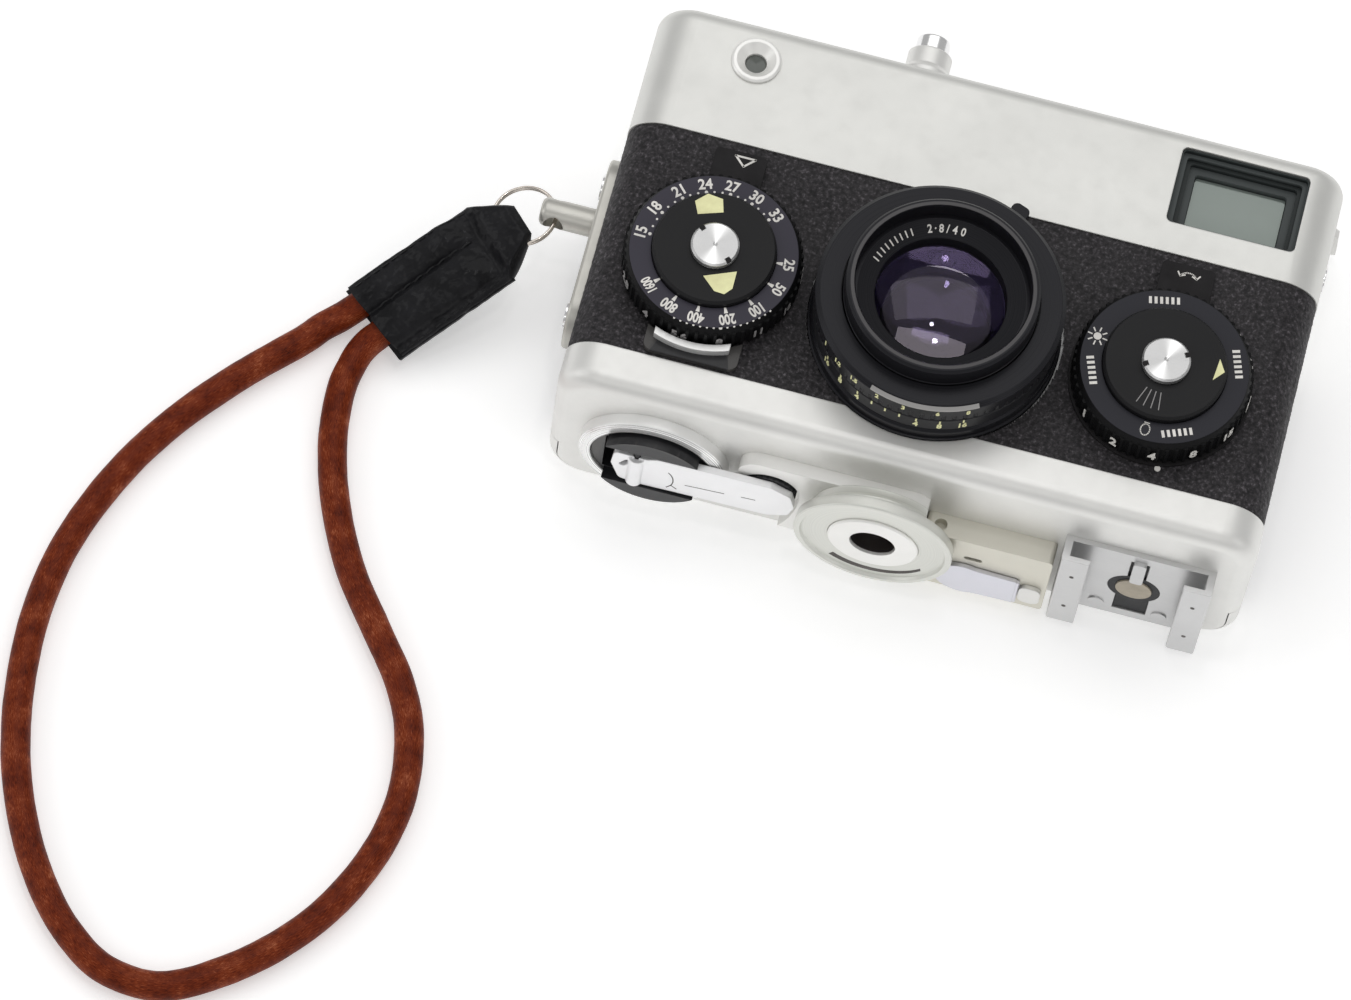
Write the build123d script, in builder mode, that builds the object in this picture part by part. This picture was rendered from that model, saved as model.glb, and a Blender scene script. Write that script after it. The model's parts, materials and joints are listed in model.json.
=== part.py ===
from build123d import *
import os
from math import sin, cos, radians

# Compact collapsible-lens 35 mm camera with a leather wrist strap.
# The camera lies on its back: +Z is the optical axis (out of the lens), +Y runs to
# the top plate, +X to the right when looking at the lens.  The origin is on the
# optical axis, on the plane of the back.  All sizes are in millimetres.
# Prefixes: R_ radius, X_ Y_ Z_ position.  An axis is given by the two coordinates it
# crosses: (x, y) for one along Z, (x, z) for one along Y, (y, z) for one along X.

os.makedirs("parts", exist_ok=True)
CUT = Mode.SUBTRACT

# ------------------------------------------------------------------ body sizes
WIDTH, HEIGHT, DEPTH = 97.0, 60.0, 29.0
X_CENTRE = 1.24                   # body centre line, from the optical axis
Y_TOP = 38.82                     # top plate
Y_BASE = Y_TOP - HEIGHT
Y_BAND_TOP, Y_BAND_LOW = 19.62, -14.96   # edges of the leatherette band
R_END, R_EDGE = 5.5, 2.4          # upright corners, long edges
WALL = 1.0                        # sheet thickness of the covers
LEATHER = 0.5                     # leatherette thickness
LEATHER_SINK = 0.1                # leatherette sits this far below the metal
LEATHER_BACK = LEATHER_SINK + LEATHER    # inset of its inner face
CASTING_GAP = 0.15                # between the casting and what covers it
Z_SPLIT = 8.5                     # joint between the back and the front parts
SPLIT_GAP = 0.03                  # clearance each side of that joint
# ------------------------------------------------------------------ axes and openings
OPTICAL = (0, 0)
X_LEFT_DIAL, X_RIGHT_DIAL = -31.1, 31.3
VIEWFINDER = (26.74, 44.70, 24.25, 36.07)      # front window x0 x1 y0 y1
EYEPIECE = (31.0, 39.4, 26.4, 34.0)            # rear window x0 x1 y0 y1
EYE_LENS_BORE = (30.4, 40.0, 26.4, 34.0)       # bore of the finder body x0 x1 y0 y1
METER_OPENING = (-41.0, -27.0, 7.5, 14.5)      # in the top plate x0 x1 z0 z1
LIGHT_CELL = (-32.69, 32.45)
BUTTON = (-10.0, 23.0)            # shutter button
LENS_RELEASE = (-22.0, 22.5)
ADVANCE = (36.8, 13.5)            # advance lever and take-up spool
SPROCKET = (25.2, 9.0)
REWIND = (-32.5, 13.6)
TRIPOD = (-0.85, 14.25)
COUNTER = (11.5, 8.6)             # frame counter wheel
LATCH = (19.5, 6.75)              # back latch
END_SCREW = (29.0, 14.5)          # one in each end of the top cover
LUG = (9.6, 14.5)                 # strap lug, on the left end
STRAP_SCREWS = [(y, LUG[1]) for y in (-5.0, 15.2)]


# ------------------------------------------------------------------ helpers
def plane_y(y):
    """Level plane at height y: local x is +X, local y is +Z, extrudes to -Y."""
    return Plane(origin=(0, y, 0), x_dir=(1, 0, 0), z_dir=(0, -1, 0))


def plane_x(x):
    """Upright plane at x: local x is +Y, local y is +Z, extrudes to +X."""
    return Plane(origin=(x, 0, 0), x_dir=(0, 1, 0), z_dir=(1, 0, 0))


def inset(rect, gap):
    """Rectangle (low, high, low, high) set in by gap; a negative gap grows it."""
    return rect[0] + gap, rect[1] - gap, rect[2] + gap, rect[3] - gap


def around(centre, half_1, half_2):
    """Rectangle (low, high, low, high) about a centre."""
    return centre[0] - half_1, centre[0] + half_1, centre[1] - half_2, centre[1] + half_2


def outline(y1, y0, gap=0.0, mode=Mode.ADD):
    """The body outline, set in by gap, from height y1 down to y0."""
    with BuildSketch(plane_y(y1)) as sk:
        with Locations((X_CENTRE, DEPTH / 2)):
            RectangleRounded(WIDTH - 2 * gap, DEPTH - 2 * gap, R_END - gap)
    extrude(sk.sketch, amount=y1 - y0, mode=mode)


def block(plane, rect, amount, mode, r):
    """Extruded rectangle, with corners rounded to r if r is not zero."""
    low_1, high_1, low_2, high_2 = rect
    with BuildSketch(plane) as sk:
        with Locations(((low_1 + high_1) / 2, (low_2 + high_2) / 2)):
            if r > 0:
                RectangleRounded(high_1 - low_1, high_2 - low_2, r)
            else:
                Rectangle(high_1 - low_1, high_2 - low_2)
    extrude(sk.sketch, amount=amount, mode=mode)


def box(x0, x1, y0, y1, z0, z1, mode=Mode.ADD, r=0.0):
    """Block between two corners, with optional rounded Z edges."""
    block(Plane.XY.offset(z0), (x0, x1, y0, y1), z1 - z0, mode, r)


def slab(x0, x1, z0, z1, y1, y0, mode=Mode.ADD, r=0.0):
    """Block from height y1 down to y0, with optional rounded Y edges."""
    block(plane_y(y1), (x0, x1, z0, z1), y1 - y0, mode, r)


def rod(plane, centre, radius, amount, mode):
    with BuildSketch(plane) as sk:
        with Locations(centre):
            Circle(radius)
    extrude(sk.sketch, amount=amount, mode=mode)


def rod_y(axis, radius, y1, y0, mode=Mode.ADD):
    """Rod from height y1 down to y0."""
    rod(plane_y(y1), axis, radius, y1 - y0, mode)


def rod_z(axis, radius, z0, z1, mode=Mode.ADD):
    rod(Plane.XY.offset(z0), axis, radius, z1 - z0, mode)


def rod_x(axis, radius, x0, x1, mode=Mode.ADD):
    rod(plane_x(x0), axis, radius, x1 - x0, mode)


def turned(plane, points, direction):
    with BuildSketch(plane) as sk:
        with BuildLine():
            Polyline(*points, close=True)
        make_face()
    revolve(sk.sketch, axis=Axis(plane.origin, direction))


def turned_z(axis, points):
    """Turned piece about an axis along Z; points are (radius, z)."""
    turned(Plane(origin=(*axis, 0), x_dir=(1, 0, 0), z_dir=(0, -1, 0)), points, (0, 0, 1))


def turned_y(axis, points):
    """Turned piece about an axis along Y; points are (radius, y)."""
    turned(Plane(origin=(axis[0], 0, axis[1])), points, (0, 1, 0))


def plate_y(points, y1, y0):
    """Plate with an outline of (x, z) points, from height y1 down to y0."""
    with BuildSketch(plane_y(y1)) as sk:
        with BuildLine():
            Polyline(*points, close=True)
        make_face()
    extrude(sk.sketch, amount=y1 - y0)


def polar_point(radius, degrees):
    return radius * cos(radians(degrees)), radius * sin(radians(degrees))


def cut_back_rebate():
    """Thin the rear of a front part all round, so that the back slides over it."""
    lip = 1.55
    with BuildSketch(plane_y(Y_BAND_TOP + 1)) as sk:
        with Locations((X_CENTRE, Z_SPLIT / 2 - 1 + SPLIT_GAP)):
            Rectangle(WIDTH + 4, Z_SPLIT + 2 + 2 * SPLIT_GAP)
        with Locations((X_CENTRE, DEPTH / 2)):
            RectangleRounded(WIDTH - 2 * lip, DEPTH - 2 * lip, R_END - lip, mode=CUT)
    extrude(sk.sketch, amount=HEIGHT, mode=CUT)


def cut_strap_holes():
    """Holes in the left end for the lug and the two strap plate screws."""
    rod_x(LUG, 2.05, -50, -44, CUT)
    for axis in STRAP_SCREWS:
        rod_x(axis, 1.05, -50, -44, CUT)


def save(builder, name):
    builder.part.label = name
    export_step(builder.part, "parts/" + name + ".step")


# =============================================================== covers and body
with BuildPart() as top_cover:
    outline(Y_TOP, Y_BAND_TOP)
    fillet(top_cover.edges().group_by(Axis.Y)[-1], R_EDGE)
    outline(Y_TOP - WALL, Y_BAND_TOP - 0.5, WALL, CUT)
    box(*VIEWFINDER, 26.5, 30, CUT, r=0.8)
    rod_z(LIGHT_CELL, 3.0, 26.5, 30, CUT)
    rod_y(BUTTON, 3.0, 40, 37, CUT)
    rod_y(LENS_RELEASE, 2.08, 40, 37, CUT)
    rod_y(ADVANCE, 3.0, 40, 37, CUT)
    slab(*METER_OPENING, 40, 37, CUT, r=1.0)
    box(*EYEPIECE, -1, 1.5, CUT, r=1.2)
    rod_x(END_SCREW, 1.05, -48, -45.5, CUT)
    rod_x(END_SCREW, 1.05, 48, 51, CUT)
save(top_cover, "top_cover")

# Die-cast body: front wall, film chambers and the light-tight box behind the lens.
Y_CHAMBER_TOP, Y_CHAMBER_LOW = 18.6, -18.5
CHAMBERS = (                      # axis, radius
    ((REWIND[0], 13.9), 12.6),
    (ADVANCE, 9.9),
    (SPROCKET, 6.6),
)
with BuildPart() as main_casting:
    outline(Y_BAND_TOP - 0.04, Y_BAND_LOW + 0.06, LEATHER + CASTING_GAP)
    outline(Y_BAND_LOW + 0.06, Y_BASE + WALL + 0.12, WALL + CASTING_GAP)
    cut_back_rebate()
    for axis, radius in CHAMBERS:
        # Round at the front, straight-sided and open at the back.
        rod_y(axis, radius, Y_CHAMBER_TOP, Y_CHAMBER_LOW, CUT)
        box(axis[0] - radius, axis[0] + radius, Y_CHAMBER_LOW, Y_CHAMBER_TOP, -1, axis[1], CUT)
    box(-18.0, 18.0, -17.6, 17.6, -1, 27.2, CUT)
    box(-45.0, 46.6, Y_CHAMBER_LOW, Y_CHAMBER_TOP, -1, 4.0, CUT)
    rod_z(OPTICAL, 17.3, 13.5, 30, CUT)
    for dial_x in (X_LEFT_DIAL, X_RIGHT_DIAL):
        rod_z((dial_x, 0), 4.06, 20, 30, CUT)
        rod_z((dial_x, 0), 6.3, 25.0, 27.2, CUT)
    rod_y(REWIND, 8.65, -18.4, -22, CUT)
    rod_y(ADVANCE, 2.6, 20, 18, CUT)
    rod_y(LATCH, 1.6, -18, -22, CUT)
    rod_y(COUNTER, 1.1, -17, -22, CUT)
    cut_strap_holes()
save(main_casting, "main_casting")

with BuildPart() as front_leatherette:
    outline(Y_BAND_TOP - 0.05, Y_BAND_LOW + 0.05, LEATHER_SINK)
    outline(Y_BAND_TOP + 1, Y_BAND_LOW - 1, LEATHER_BACK, CUT)
    box(-60, 60, -30, 30, -1, Z_SPLIT + 2 * SPLIT_GAP, CUT)
    rod_z(OPTICAL, 17.4, 20, 30, CUT)
    for dial_x in (X_LEFT_DIAL, X_RIGHT_DIAL):
        rod_z((dial_x, 0), 4.3, 20, 30, CUT)
    cut_strap_holes()
save(front_leatherette, "front_leatherette")

with BuildPart() as bottom_cover:
    outline(Y_BAND_LOW, Y_BASE)
    fillet(bottom_cover.edges().group_by(Axis.Y)[0], R_EDGE)
    outline(Y_BAND_LOW + 0.5, Y_BASE + WALL + 0.08, WALL, CUT)
    cut_back_rebate()
    box(-60, 60, Y_BASE + WALL + 0.08, 0, -1, Z_SPLIT + SPLIT_GAP, CUT)
    rod_z(OPTICAL, 17.35, 20, 30, CUT)
    for axis, radius in ((REWIND, 8.65), (TRIPOD, 3.9), (LATCH, 1.6), (COUNTER, 1.1)):
        rod_y(axis, radius, -18, -24, CUT)
save(bottom_cover, "bottom_cover")

# Removable back: rear wall and both ends in one piece, open towards the front.
with BuildPart() as back_cover:
    outline(Y_BAND_TOP - 0.06, Y_BASE)
    fillet(back_cover.edges().group_by(Axis.Y)[0], R_EDGE)
    outline(Y_BAND_TOP + 1, Y_BASE - 1, 1.4, CUT)
    box(-60, 60, -40, 40, Z_SPLIT - SPLIT_GAP, 40, CUT)
    # Shallow recess for the leatherette, round the outside of the band.
    with BuildSketch(plane_y(Y_BAND_TOP - 0.06)) as sk:
        with Locations((X_CENTRE, DEPTH / 2)):
            RectangleRounded(WIDTH + 2, DEPTH + 2, R_END + 1)
            RectangleRounded(WIDTH - 2 * LEATHER_BACK - 0.02, DEPTH - 2 * LEATHER_BACK - 0.02,
                             R_END - LEATHER_BACK, mode=CUT)
    extrude(sk.sketch, amount=(Y_BAND_TOP - 0.06) - Y_BAND_LOW, mode=CUT)
save(back_cover, "back_cover")

with BuildPart() as back_leatherette:
    outline(Y_BAND_TOP - 0.06, Y_BAND_LOW + 0.05)
    outline(Y_BAND_TOP + 1, Y_BAND_LOW - 1, LEATHER_BACK, CUT)
    box(-60, 60, -40, 40, Z_SPLIT - SPLIT_GAP, 40, CUT)
save(back_leatherette, "back_leatherette")

# =============================================================== film path
X_GATE0, X_GATE1, Z_GATE = -19.4, 18.3, 3.1
with BuildPart() as film_gate:
    box(X_GATE0, X_GATE1, -17.6, 17.6, Z_GATE, 3.95)
    for rail_y in (-17.3, -13.6, 13.0, 16.7):
        box(X_GATE0, X_GATE1, rail_y, rail_y + 0.6, 2.8, Z_GATE)
    box(-18.0, 18.0, -12.0, 12.0, 2, 5, CUT, r=0.3)
save(film_gate, "film_gate")

with BuildPart() as pressure_plate:
    box(-17.5, 17.5, -16.4, 16.4, 1.95, 2.65, r=1.5)
    with BuildSketch(Plane.XY.offset(1.5)) as sk:
        with GridLocations(9.0, 9.0, 3, 3):
            Circle(1.2)
    extrude(sk.sketch, amount=0.75, mode=CUT)
save(pressure_plate, "pressure_plate")

with BuildPart() as take_up_spool:
    turned_y(ADVANCE, [(0, -18.3), (9.4, -18.3), (9.4, -17.5), (5.4, -17.5), (5.4, 17.4),
                       (9.4, 17.4), (9.4, 18.2), (2.4, 18.2), (2.4, 19.2), (0, 19.2)])
    slab(*around(ADVANCE, 7, 0.5), 14, -14, CUT)
save(take_up_spool, "take_up_spool")

R_SPROCKET_RIM = 5.6
with BuildPart() as film_sprocket:
    rod_y(SPROCKET, 4.9, 17.3, -17.3)
    for rim_y in (14.9, -13.3):
        with BuildSketch(plane_y(rim_y)) as sk:
            with Locations(SPROCKET):
                Circle(R_SPROCKET_RIM)
                with PolarLocations(R_SPROCKET_RIM, 8):
                    Rectangle(1.3, 1.2)
        extrude(sk.sketch, amount=1.6)
save(film_sprocket, "film_sprocket")

# =============================================================== lens
R_GUIDE, R_TUBE = 15.60, 15.52    # bore of the flange, tube sliding in it
R_FLANGE, Z_FLANGE = 16.9, 31.0
R_HEAD, Z_HEAD = 16.75, 34.2      # scale band of the lens tube
R_NOSE, R_NOSE_BORE = 14.20, 13.3
R_FOCUS, Z_FOCUS = 16.9, 37.9     # focusing ring and its front face
R_BARREL, R_BARREL_BORE = 13.22, 8.95
R_FILTER, Z_RIM = 12.0, 41.2      # filter thread and the rim before it
R_BLADE_PIVOT = 11.0

with BuildPart() as lens_flange:
    turned_z(OPTICAL, [(R_GUIDE, 14.0), (17.2, 14.0), (17.2, 28.9), (R_FLANGE, 29.0),
                       (R_FLANGE, 30.6), (16.5, Z_FLANGE), (R_GUIDE, Z_FLANGE)])
    with BuildSketch(Plane.XY.offset(29.05)) as sk:
        with PolarLocations(18.85, 1, start_angle=69):
            RectangleRounded(5.0, 2.6, 0.8)
    extrude(sk.sketch, amount=1.9)
save(lens_flange, "lens_flange")

with BuildPart() as lens_tube:
    turned_z(OPTICAL, [(14.6, 8.8), (R_TUBE, 8.8), (R_TUBE, 31.2), (16.45, 31.2),
                       (R_HEAD, 31.5), (R_HEAD, 33.9), (16.45, Z_HEAD), (R_NOSE, Z_HEAD),
                       (R_NOSE, 37.3), (R_NOSE_BORE, 37.3), (R_NOSE_BORE, 24.5),
                       (14.6, 24.5)])
save(lens_tube, "lens_tube")

with BuildPart() as focusing_ring:
    turned_z(OPTICAL, [(14.28, 34.35), (16.6, 34.35), (R_FOCUS, 34.65), (R_FOCUS, 37.3),
                       (16.3, Z_FOCUS), (13.42, Z_FOCUS), (13.42, 37.4), (14.28, 37.4)])
    with BuildSketch(Plane.XY.offset(34.2)) as sk:
        with PolarLocations(R_FOCUS + 0.1, 72):
            Circle(0.32)
    extrude(sk.sketch, amount=1.6, mode=CUT)
save(focusing_ring, "focusing_ring")

with BuildPart() as front_barrel:
    turned_z(OPTICAL, [(R_BARREL_BORE, 25.6), (R_BARREL, 25.6), (R_BARREL, 37.9),
                       (13.1, 38.0), (13.1, 40.8), (12.75, Z_RIM), (R_FILTER, Z_RIM),
                       (R_FILTER, 38.4), (11.4, 38.4), (R_BARREL_BORE, 37.3)])
save(front_barrel, "front_barrel")


def lens_element(name, radius, z_inner, z_inner_rim, z_rim, z_vertex):
    """Glass with a shallow conical inner face and a domed outer face."""
    sagitta = z_vertex - z_rim
    with BuildPart() as element:
        with BuildSketch(Plane.XZ):
            with BuildLine():
                Line((0, z_inner), (radius, z_inner_rim))
                Line((radius, z_inner_rim), (radius, z_rim))
                # The sign of the sagitta turns the arc outwards at either end.
                RadiusArc((radius, z_rim), (0, z_vertex),
                          -(radius ** 2 + sagitta ** 2) / (2 * sagitta))
                Line((0, z_vertex), (0, z_inner))
            make_face()
        revolve(axis=Axis.Z)
    save(element, name)


lens_element("front_lens_element", 8.9, z_inner=33.2, z_inner_rim=33.9, z_rim=35.2,
             z_vertex=37.2)
lens_element("rear_lens_element", 6.9, z_inner=14.2, z_inner_rim=14.0, z_rim=11.6,
             z_vertex=10.4)

# Leaf shutter case in the tube, with the two pivot pins of the aperture blades.
with BuildPart() as shutter_case:
    turned_z(OPTICAL, [(6.95, 10.0), (12.0, 10.0), (12.0, 12.0), (14.55, 13.0),
                       (14.55, 22.4), (8.2, 22.4), (8.2, 16.0), (6.95, 15.0)])
    for angle in (0, 180):
        rod_z(polar_point(R_BLADE_PIVOT, angle), 0.7, 22.3, 24.2)
save(shutter_case, "shutter_case")


def aperture_blade(name, start, z):
    """Arc-shaped blade from the start angle, with a pivot eye at that end."""
    r_outer, r_inner, sweep_angle = 12.6, 9.0, 105
    angles = (start, start + sweep_angle / 2, start + sweep_angle)
    outer = [polar_point(r_outer, angle) for angle in angles]
    inner = [polar_point(r_inner, angle) for angle in angles]
    with BuildPart() as blade:
        with BuildSketch(Plane.XY.offset(z)) as sk:
            with BuildLine():
                ThreePointArc(*outer)
                Line(outer[2], inner[2])
                ThreePointArc(*reversed(inner))
                Line(inner[0], outer[0])
            make_face()
            with Locations(polar_point(R_BLADE_PIVOT, start)):
                Circle(1.6)
                Circle(0.76, mode=CUT)
        extrude(sk.sketch, amount=0.25)
    save(blade, name)


aperture_blade("aperture_blade_1", start=0, z=22.7)
aperture_blade("aperture_blade_2", start=180, z=23.3)

# =============================================================== dials
R_DIAL, R_FACE, R_CAP = 12.2, 11.4, 3.3
R_DIAL_RELIEF = 12.45             # cut round the dials in the parts beside them
Z_DIAL0, Z_DIAL1, Z_DISC1, Z_CAP1 = 29.45, 34.0, 35.2, 36.3


def dial_set(x, notch_angle, dial_name, disc_name, cap_name):
    """Fluted dial, the disc set in its face and the notched cap in the middle."""
    axis = (x, 0)
    with BuildPart() as dial:
        with BuildSketch(Plane.XY.offset(Z_DIAL0)) as sk:
            with Locations(axis):
                Circle(R_DIAL)
                with PolarLocations(R_DIAL + 0.1, 60):
                    Circle(0.44, mode=CUT)
        extrude(sk.sketch, amount=33.1 - Z_DIAL0)
        turned_z(axis, [(0, 33.0), (11.95, 33.0), (R_FACE + 0.15, 33.8), (R_FACE, Z_DIAL1),
                        (8.5, Z_DIAL1), (8.5, 33.2), (0, 33.2)])
        rod_z(axis, 2.0, 33.2, 35.3)
        rod_z(axis, 4.0, 26.6, Z_DIAL0)
    save(dial, dial_name)

    with BuildPart() as disc:
        turned_z(axis, [(2.06, 33.3), (8.42, 33.3), (8.42, 34.8), (8.1, Z_DISC1),
                        (2.06, Z_DISC1)])
    save(disc, disc_name)

    with BuildPart() as cap:
        turned_z(axis, [(0, 35.3), (R_CAP, 35.3), (R_CAP, 36.05), (3.05, Z_CAP1),
                        (0.35, Z_CAP1), (0, 36.2)])
        with BuildSketch(Plane.XY.offset(35.9)) as sk:
            with Locations(axis):
                with PolarLocations(R_CAP, 2, start_angle=notch_angle):
                    Rectangle(1.5, 0.75)
        extrude(sk.sketch, amount=1.0, mode=CUT)
    save(cap, cap_name)


dial_set(X_LEFT_DIAL, 140, "aperture_dial", "film_speed_disc", "aperture_dial_cap")
dial_set(X_RIGHT_DIAL, 28, "shutter_speed_dial", "film_type_disc", "shutter_dial_cap")

with BuildPart() as dial_index_tab:
    box(X_LEFT_DIAL - 3.6, X_LEFT_DIAL + 3.6, 9.0, 17.7, 28.95, 30.1, r=0.7)
    rod_z((X_LEFT_DIAL, 0), R_DIAL_RELIEF, 28, 31, CUT)
save(dial_index_tab, "dial_index_tab")

# Spring catch under the left dial: a plate with a curved grip.
with BuildPart() as aperture_lock_lever:
    box(-37.2, -24.2, -14.6, -9.5, 29.05, 29.9, r=1.2)
    rod_z((X_LEFT_DIAL, 0), R_DIAL_RELIEF, 28, 31, CUT)
    with BuildSketch(Plane.XY.offset(29.9)) as sk:
        with Locations((X_LEFT_DIAL, 0)):
            Circle(13.6)
            Circle(12.6, mode=CUT)
        with Locations((-30.9, -13.0)):
            Rectangle(10.4, 4.4, mode=Mode.INTERSECT)
    extrude(sk.sketch, amount=1.3)
save(aperture_lock_lever, "aperture_lock_lever")

# Rewind release lever: a ring under the right dial with a finger tab above it.
with BuildPart() as rewind_release_lever:
    with BuildSketch(Plane.XY.offset(28.98)) as sk:
        with Locations((X_RIGHT_DIAL, 0)):
            Circle(12.5)
        with Locations((X_RIGHT_DIAL + 0.15, 14.2)):
            RectangleRounded(7.4, 7.2, 0.7)
        with Locations((X_RIGHT_DIAL, 0)):
            Circle(4.4, mode=CUT)
    extrude(sk.sketch, amount=0.38)
    box(X_RIGHT_DIAL - 3.55, X_RIGHT_DIAL + 3.85, 10.6, 17.8, 29.3, 30.1, r=0.7)
    rod_z((X_RIGHT_DIAL, 0), R_DIAL_RELIEF, 29.36, 31, CUT)
save(rewind_release_lever, "rewind_release_lever")

# =============================================================== viewfinder and meter
FINDER_STEPS = (                  # stepped recess, front to back: x0 x1 y0 y1, floor z
    (27.0, 44.44, 24.5, 35.82, 27.75),
    (27.65, 43.85, 24.9, 35.3, 26.95),
    (28.3, 43.3, 25.3, 34.8, 26.15),
    (29.3, 42.2, 25.7, 33.8, 24.6),
)
with BuildPart() as viewfinder_frame:
    box(*inset(VIEWFINDER, 0.08), 23.2, 28.6, r=0.75)
    box(*inset(VIEWFINDER, -0.8), 23.2, 27.7)
    box(29.4, 41.0, 25.2, 35.0, 2.7, 23.3)
    for *step, floor_z in FINDER_STEPS:
        box(*step, floor_z, 30, CUT, r=0.5)
    box(*EYE_LENS_BORE, 2.0, 24.7, CUT)
save(viewfinder_frame, "viewfinder_frame")

with BuildPart() as viewfinder_glass:
    box(29.4, 42.1, 25.8, 33.7, 24.65, 25.25, r=0.3)
save(viewfinder_glass, "viewfinder_glass")

with BuildPart() as eyepiece_lens:
    box(*inset(EYEPIECE, 0.05), 0.35, 1.6, r=1.15)
    box(*inset(EYE_LENS_BORE, 0.05), 2.75, 3.6)
    box(*inset(EYEPIECE, 0.5), 1.5, 2.8)
save(eyepiece_lens, "eyepiece_lens")

with BuildPart() as light_cell_ring:
    turned_z(LIGHT_CELL, [(1.5, 27.2), (2.92, 27.2), (2.92, 29.02), (3.45, 29.02),
                          (3.45, 29.35), (3.15, 29.6), (2.7, 29.6), (1.5, 28.4)])
save(light_cell_ring, "light_cell_ring")

with BuildPart() as light_cell:
    turned_z(LIGHT_CELL, [(0, 25.3), (2.8, 25.3), (2.8, 27.1), (1.42, 27.1), (1.42, 28.0),
                          (0, 28.25)])
save(light_cell, "light_cell")

with BuildPart() as meter_window:
    slab(*inset(METER_OPENING, 0.05), 38.6, 38.0, r=0.95)
    slab(*inset(METER_OPENING, -0.7), 37.8, 37.2, r=0.95)
    slab(-40.0, -28.0, 8.4, 13.6, 38.1, 37.7)
save(meter_window, "meter_window")

METER_PIVOT = (-34.0, 18.6)
with BuildPart() as meter_movement:
    rod_y(METER_PIVOT, 6.3, 34.0, 20.5)
    slab(-38.0, -30.0, 12.4, 24.8, 20.6, Y_BAND_TOP)
    rod_y(METER_PIVOT, 0.6, 35.6, 34.0)
save(meter_movement, "meter_movement")

with BuildPart() as meter_needle:
    turned_y(METER_PIVOT, [(0.66, 34.3), (1.3, 34.3), (1.3, 35.3), (0.66, 35.3)])
    slab(METER_PIVOT[0] - 0.2, METER_PIVOT[0] + 0.2, 9.0, 17.8, 35.2, 34.9)
save(meter_needle, "meter_needle")

BATTERY = (-14.0, 11.5)
with BuildPart() as battery:
    rod_y(BATTERY, 7.8, 26.0, 20.4)
    rod_y(BATTERY, 6.2, 20.4, Y_BAND_TOP - 0.04)
    fillet(battery.edges().group_by(Axis.Y)[-1], 0.6)
save(battery, "battery")

# =============================================================== top controls
with BuildPart() as button_collar:
    turned_y(BUTTON, [(2.42, 36.9), (2.95, 36.9), (2.95, 38.84), (3.75, 38.84), (3.75, 39.7),
                      (3.1, 40.6), (3.1, 43.0), (2.9, 43.2), (2.42, 43.2)])
save(button_collar, "button_collar")

with BuildPart() as shutter_button:
    rod_y(BUTTON, 2.35, 45.6, 34.0)
    fillet(shutter_button.edges().group_by(Axis.Y)[-1], 0.35)
    rod_y(BUTTON, 1.6, 46, 41.6, CUT)
save(shutter_button, "shutter_button")

with BuildPart() as lens_release_button:
    turned_y(LENS_RELEASE, [(0, 34.5), (2.0, 34.5), (2.0, 39.6), (1.7, 39.9), (0, 39.9)])
save(lens_release_button, "lens_release_button")

# Outlines of the lever arm and of the raised thumb grip at its end: (x, z).
LEVER_ARM = [(32.6, 18.0), (36.0, 19.6), (41.5, 17.2), (50.9, 8.4), (51.2, 3.6),
             (48.6, 2.6), (45.5, 4.6), (36.0, 8.2)]
LEVER_GRIP = [(46.2, 10.9), (49.4, 8.4), (50.2, 4.2), (48.7, 3.4), (46.9, 5.2)]
Y_LEVER = 40.6                    # upper face of the arm
with BuildPart() as advance_lever:
    rod_y(ADVANCE, 2.5, 39.5, 36.3)
    rod_y(ADVANCE, 6.2, Y_LEVER, 38.9)
    plate_y(LEVER_ARM, Y_LEVER, Y_LEVER - 1.5)
    fillet(advance_lever.edges().group_by(Axis.Y)[-1], 0.4)
    # Ring groove round the centre of the hub.
    rod_y(ADVANCE, 4.2, 41.0, 40.2, CUT)
    rod_y(ADVANCE, 3.9, 40.9, 40.1)
    plate_y(LEVER_GRIP, 43.0, 40.4)
    fillet(advance_lever.edges().group_by(Axis.Y)[-1], 0.6)
save(advance_lever, "advance_lever")

# =============================================================== base
Y_ARM_LOW, Y_ARM_TOP = -24.4, -23.4      # crank arm
CRANK_PIN = (-34.5, -23.9)        # hinge pin, along Z
KNOB, R_KNOB = (-16.2, 14.8), 3.75       # folded crank knob
Y_PLATE = -23.08                  # lower face of the base plate

with BuildPart() as rewind_ring:
    turned_y(REWIND, [(8.62, Y_BASE), (10.3, Y_BASE), (10.3, -22.8), (9.85, -23.25),
                      (8.62, -23.25)])
save(rewind_ring, "rewind_ring")

# Rewind drum: two cheeks carry the crank arm between them; the fork turns the film.
with BuildPart() as rewind_drum:
    rod_y(REWIND, 8.5, -18.6, -22.9)
    with BuildSketch(plane_y(-22.8)) as sk:
        with Locations(REWIND):
            Circle(8.0)
            Rectangle(30, 9.6, mode=CUT)
    extrude(sk.sketch, amount=1.9)
    slab(-39.2, -31.0, 9.0, 18.2, -20.3, -30, CUT)
    rod_y(REWIND, 2.4, -12.5, -18.8)
    slab(*around(REWIND, 3.6, 0.9), -11.0, -15.0)
    rod_z(CRANK_PIN, 0.5, 7.6, 19.6)
save(rewind_drum, "rewind_drum")

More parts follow.
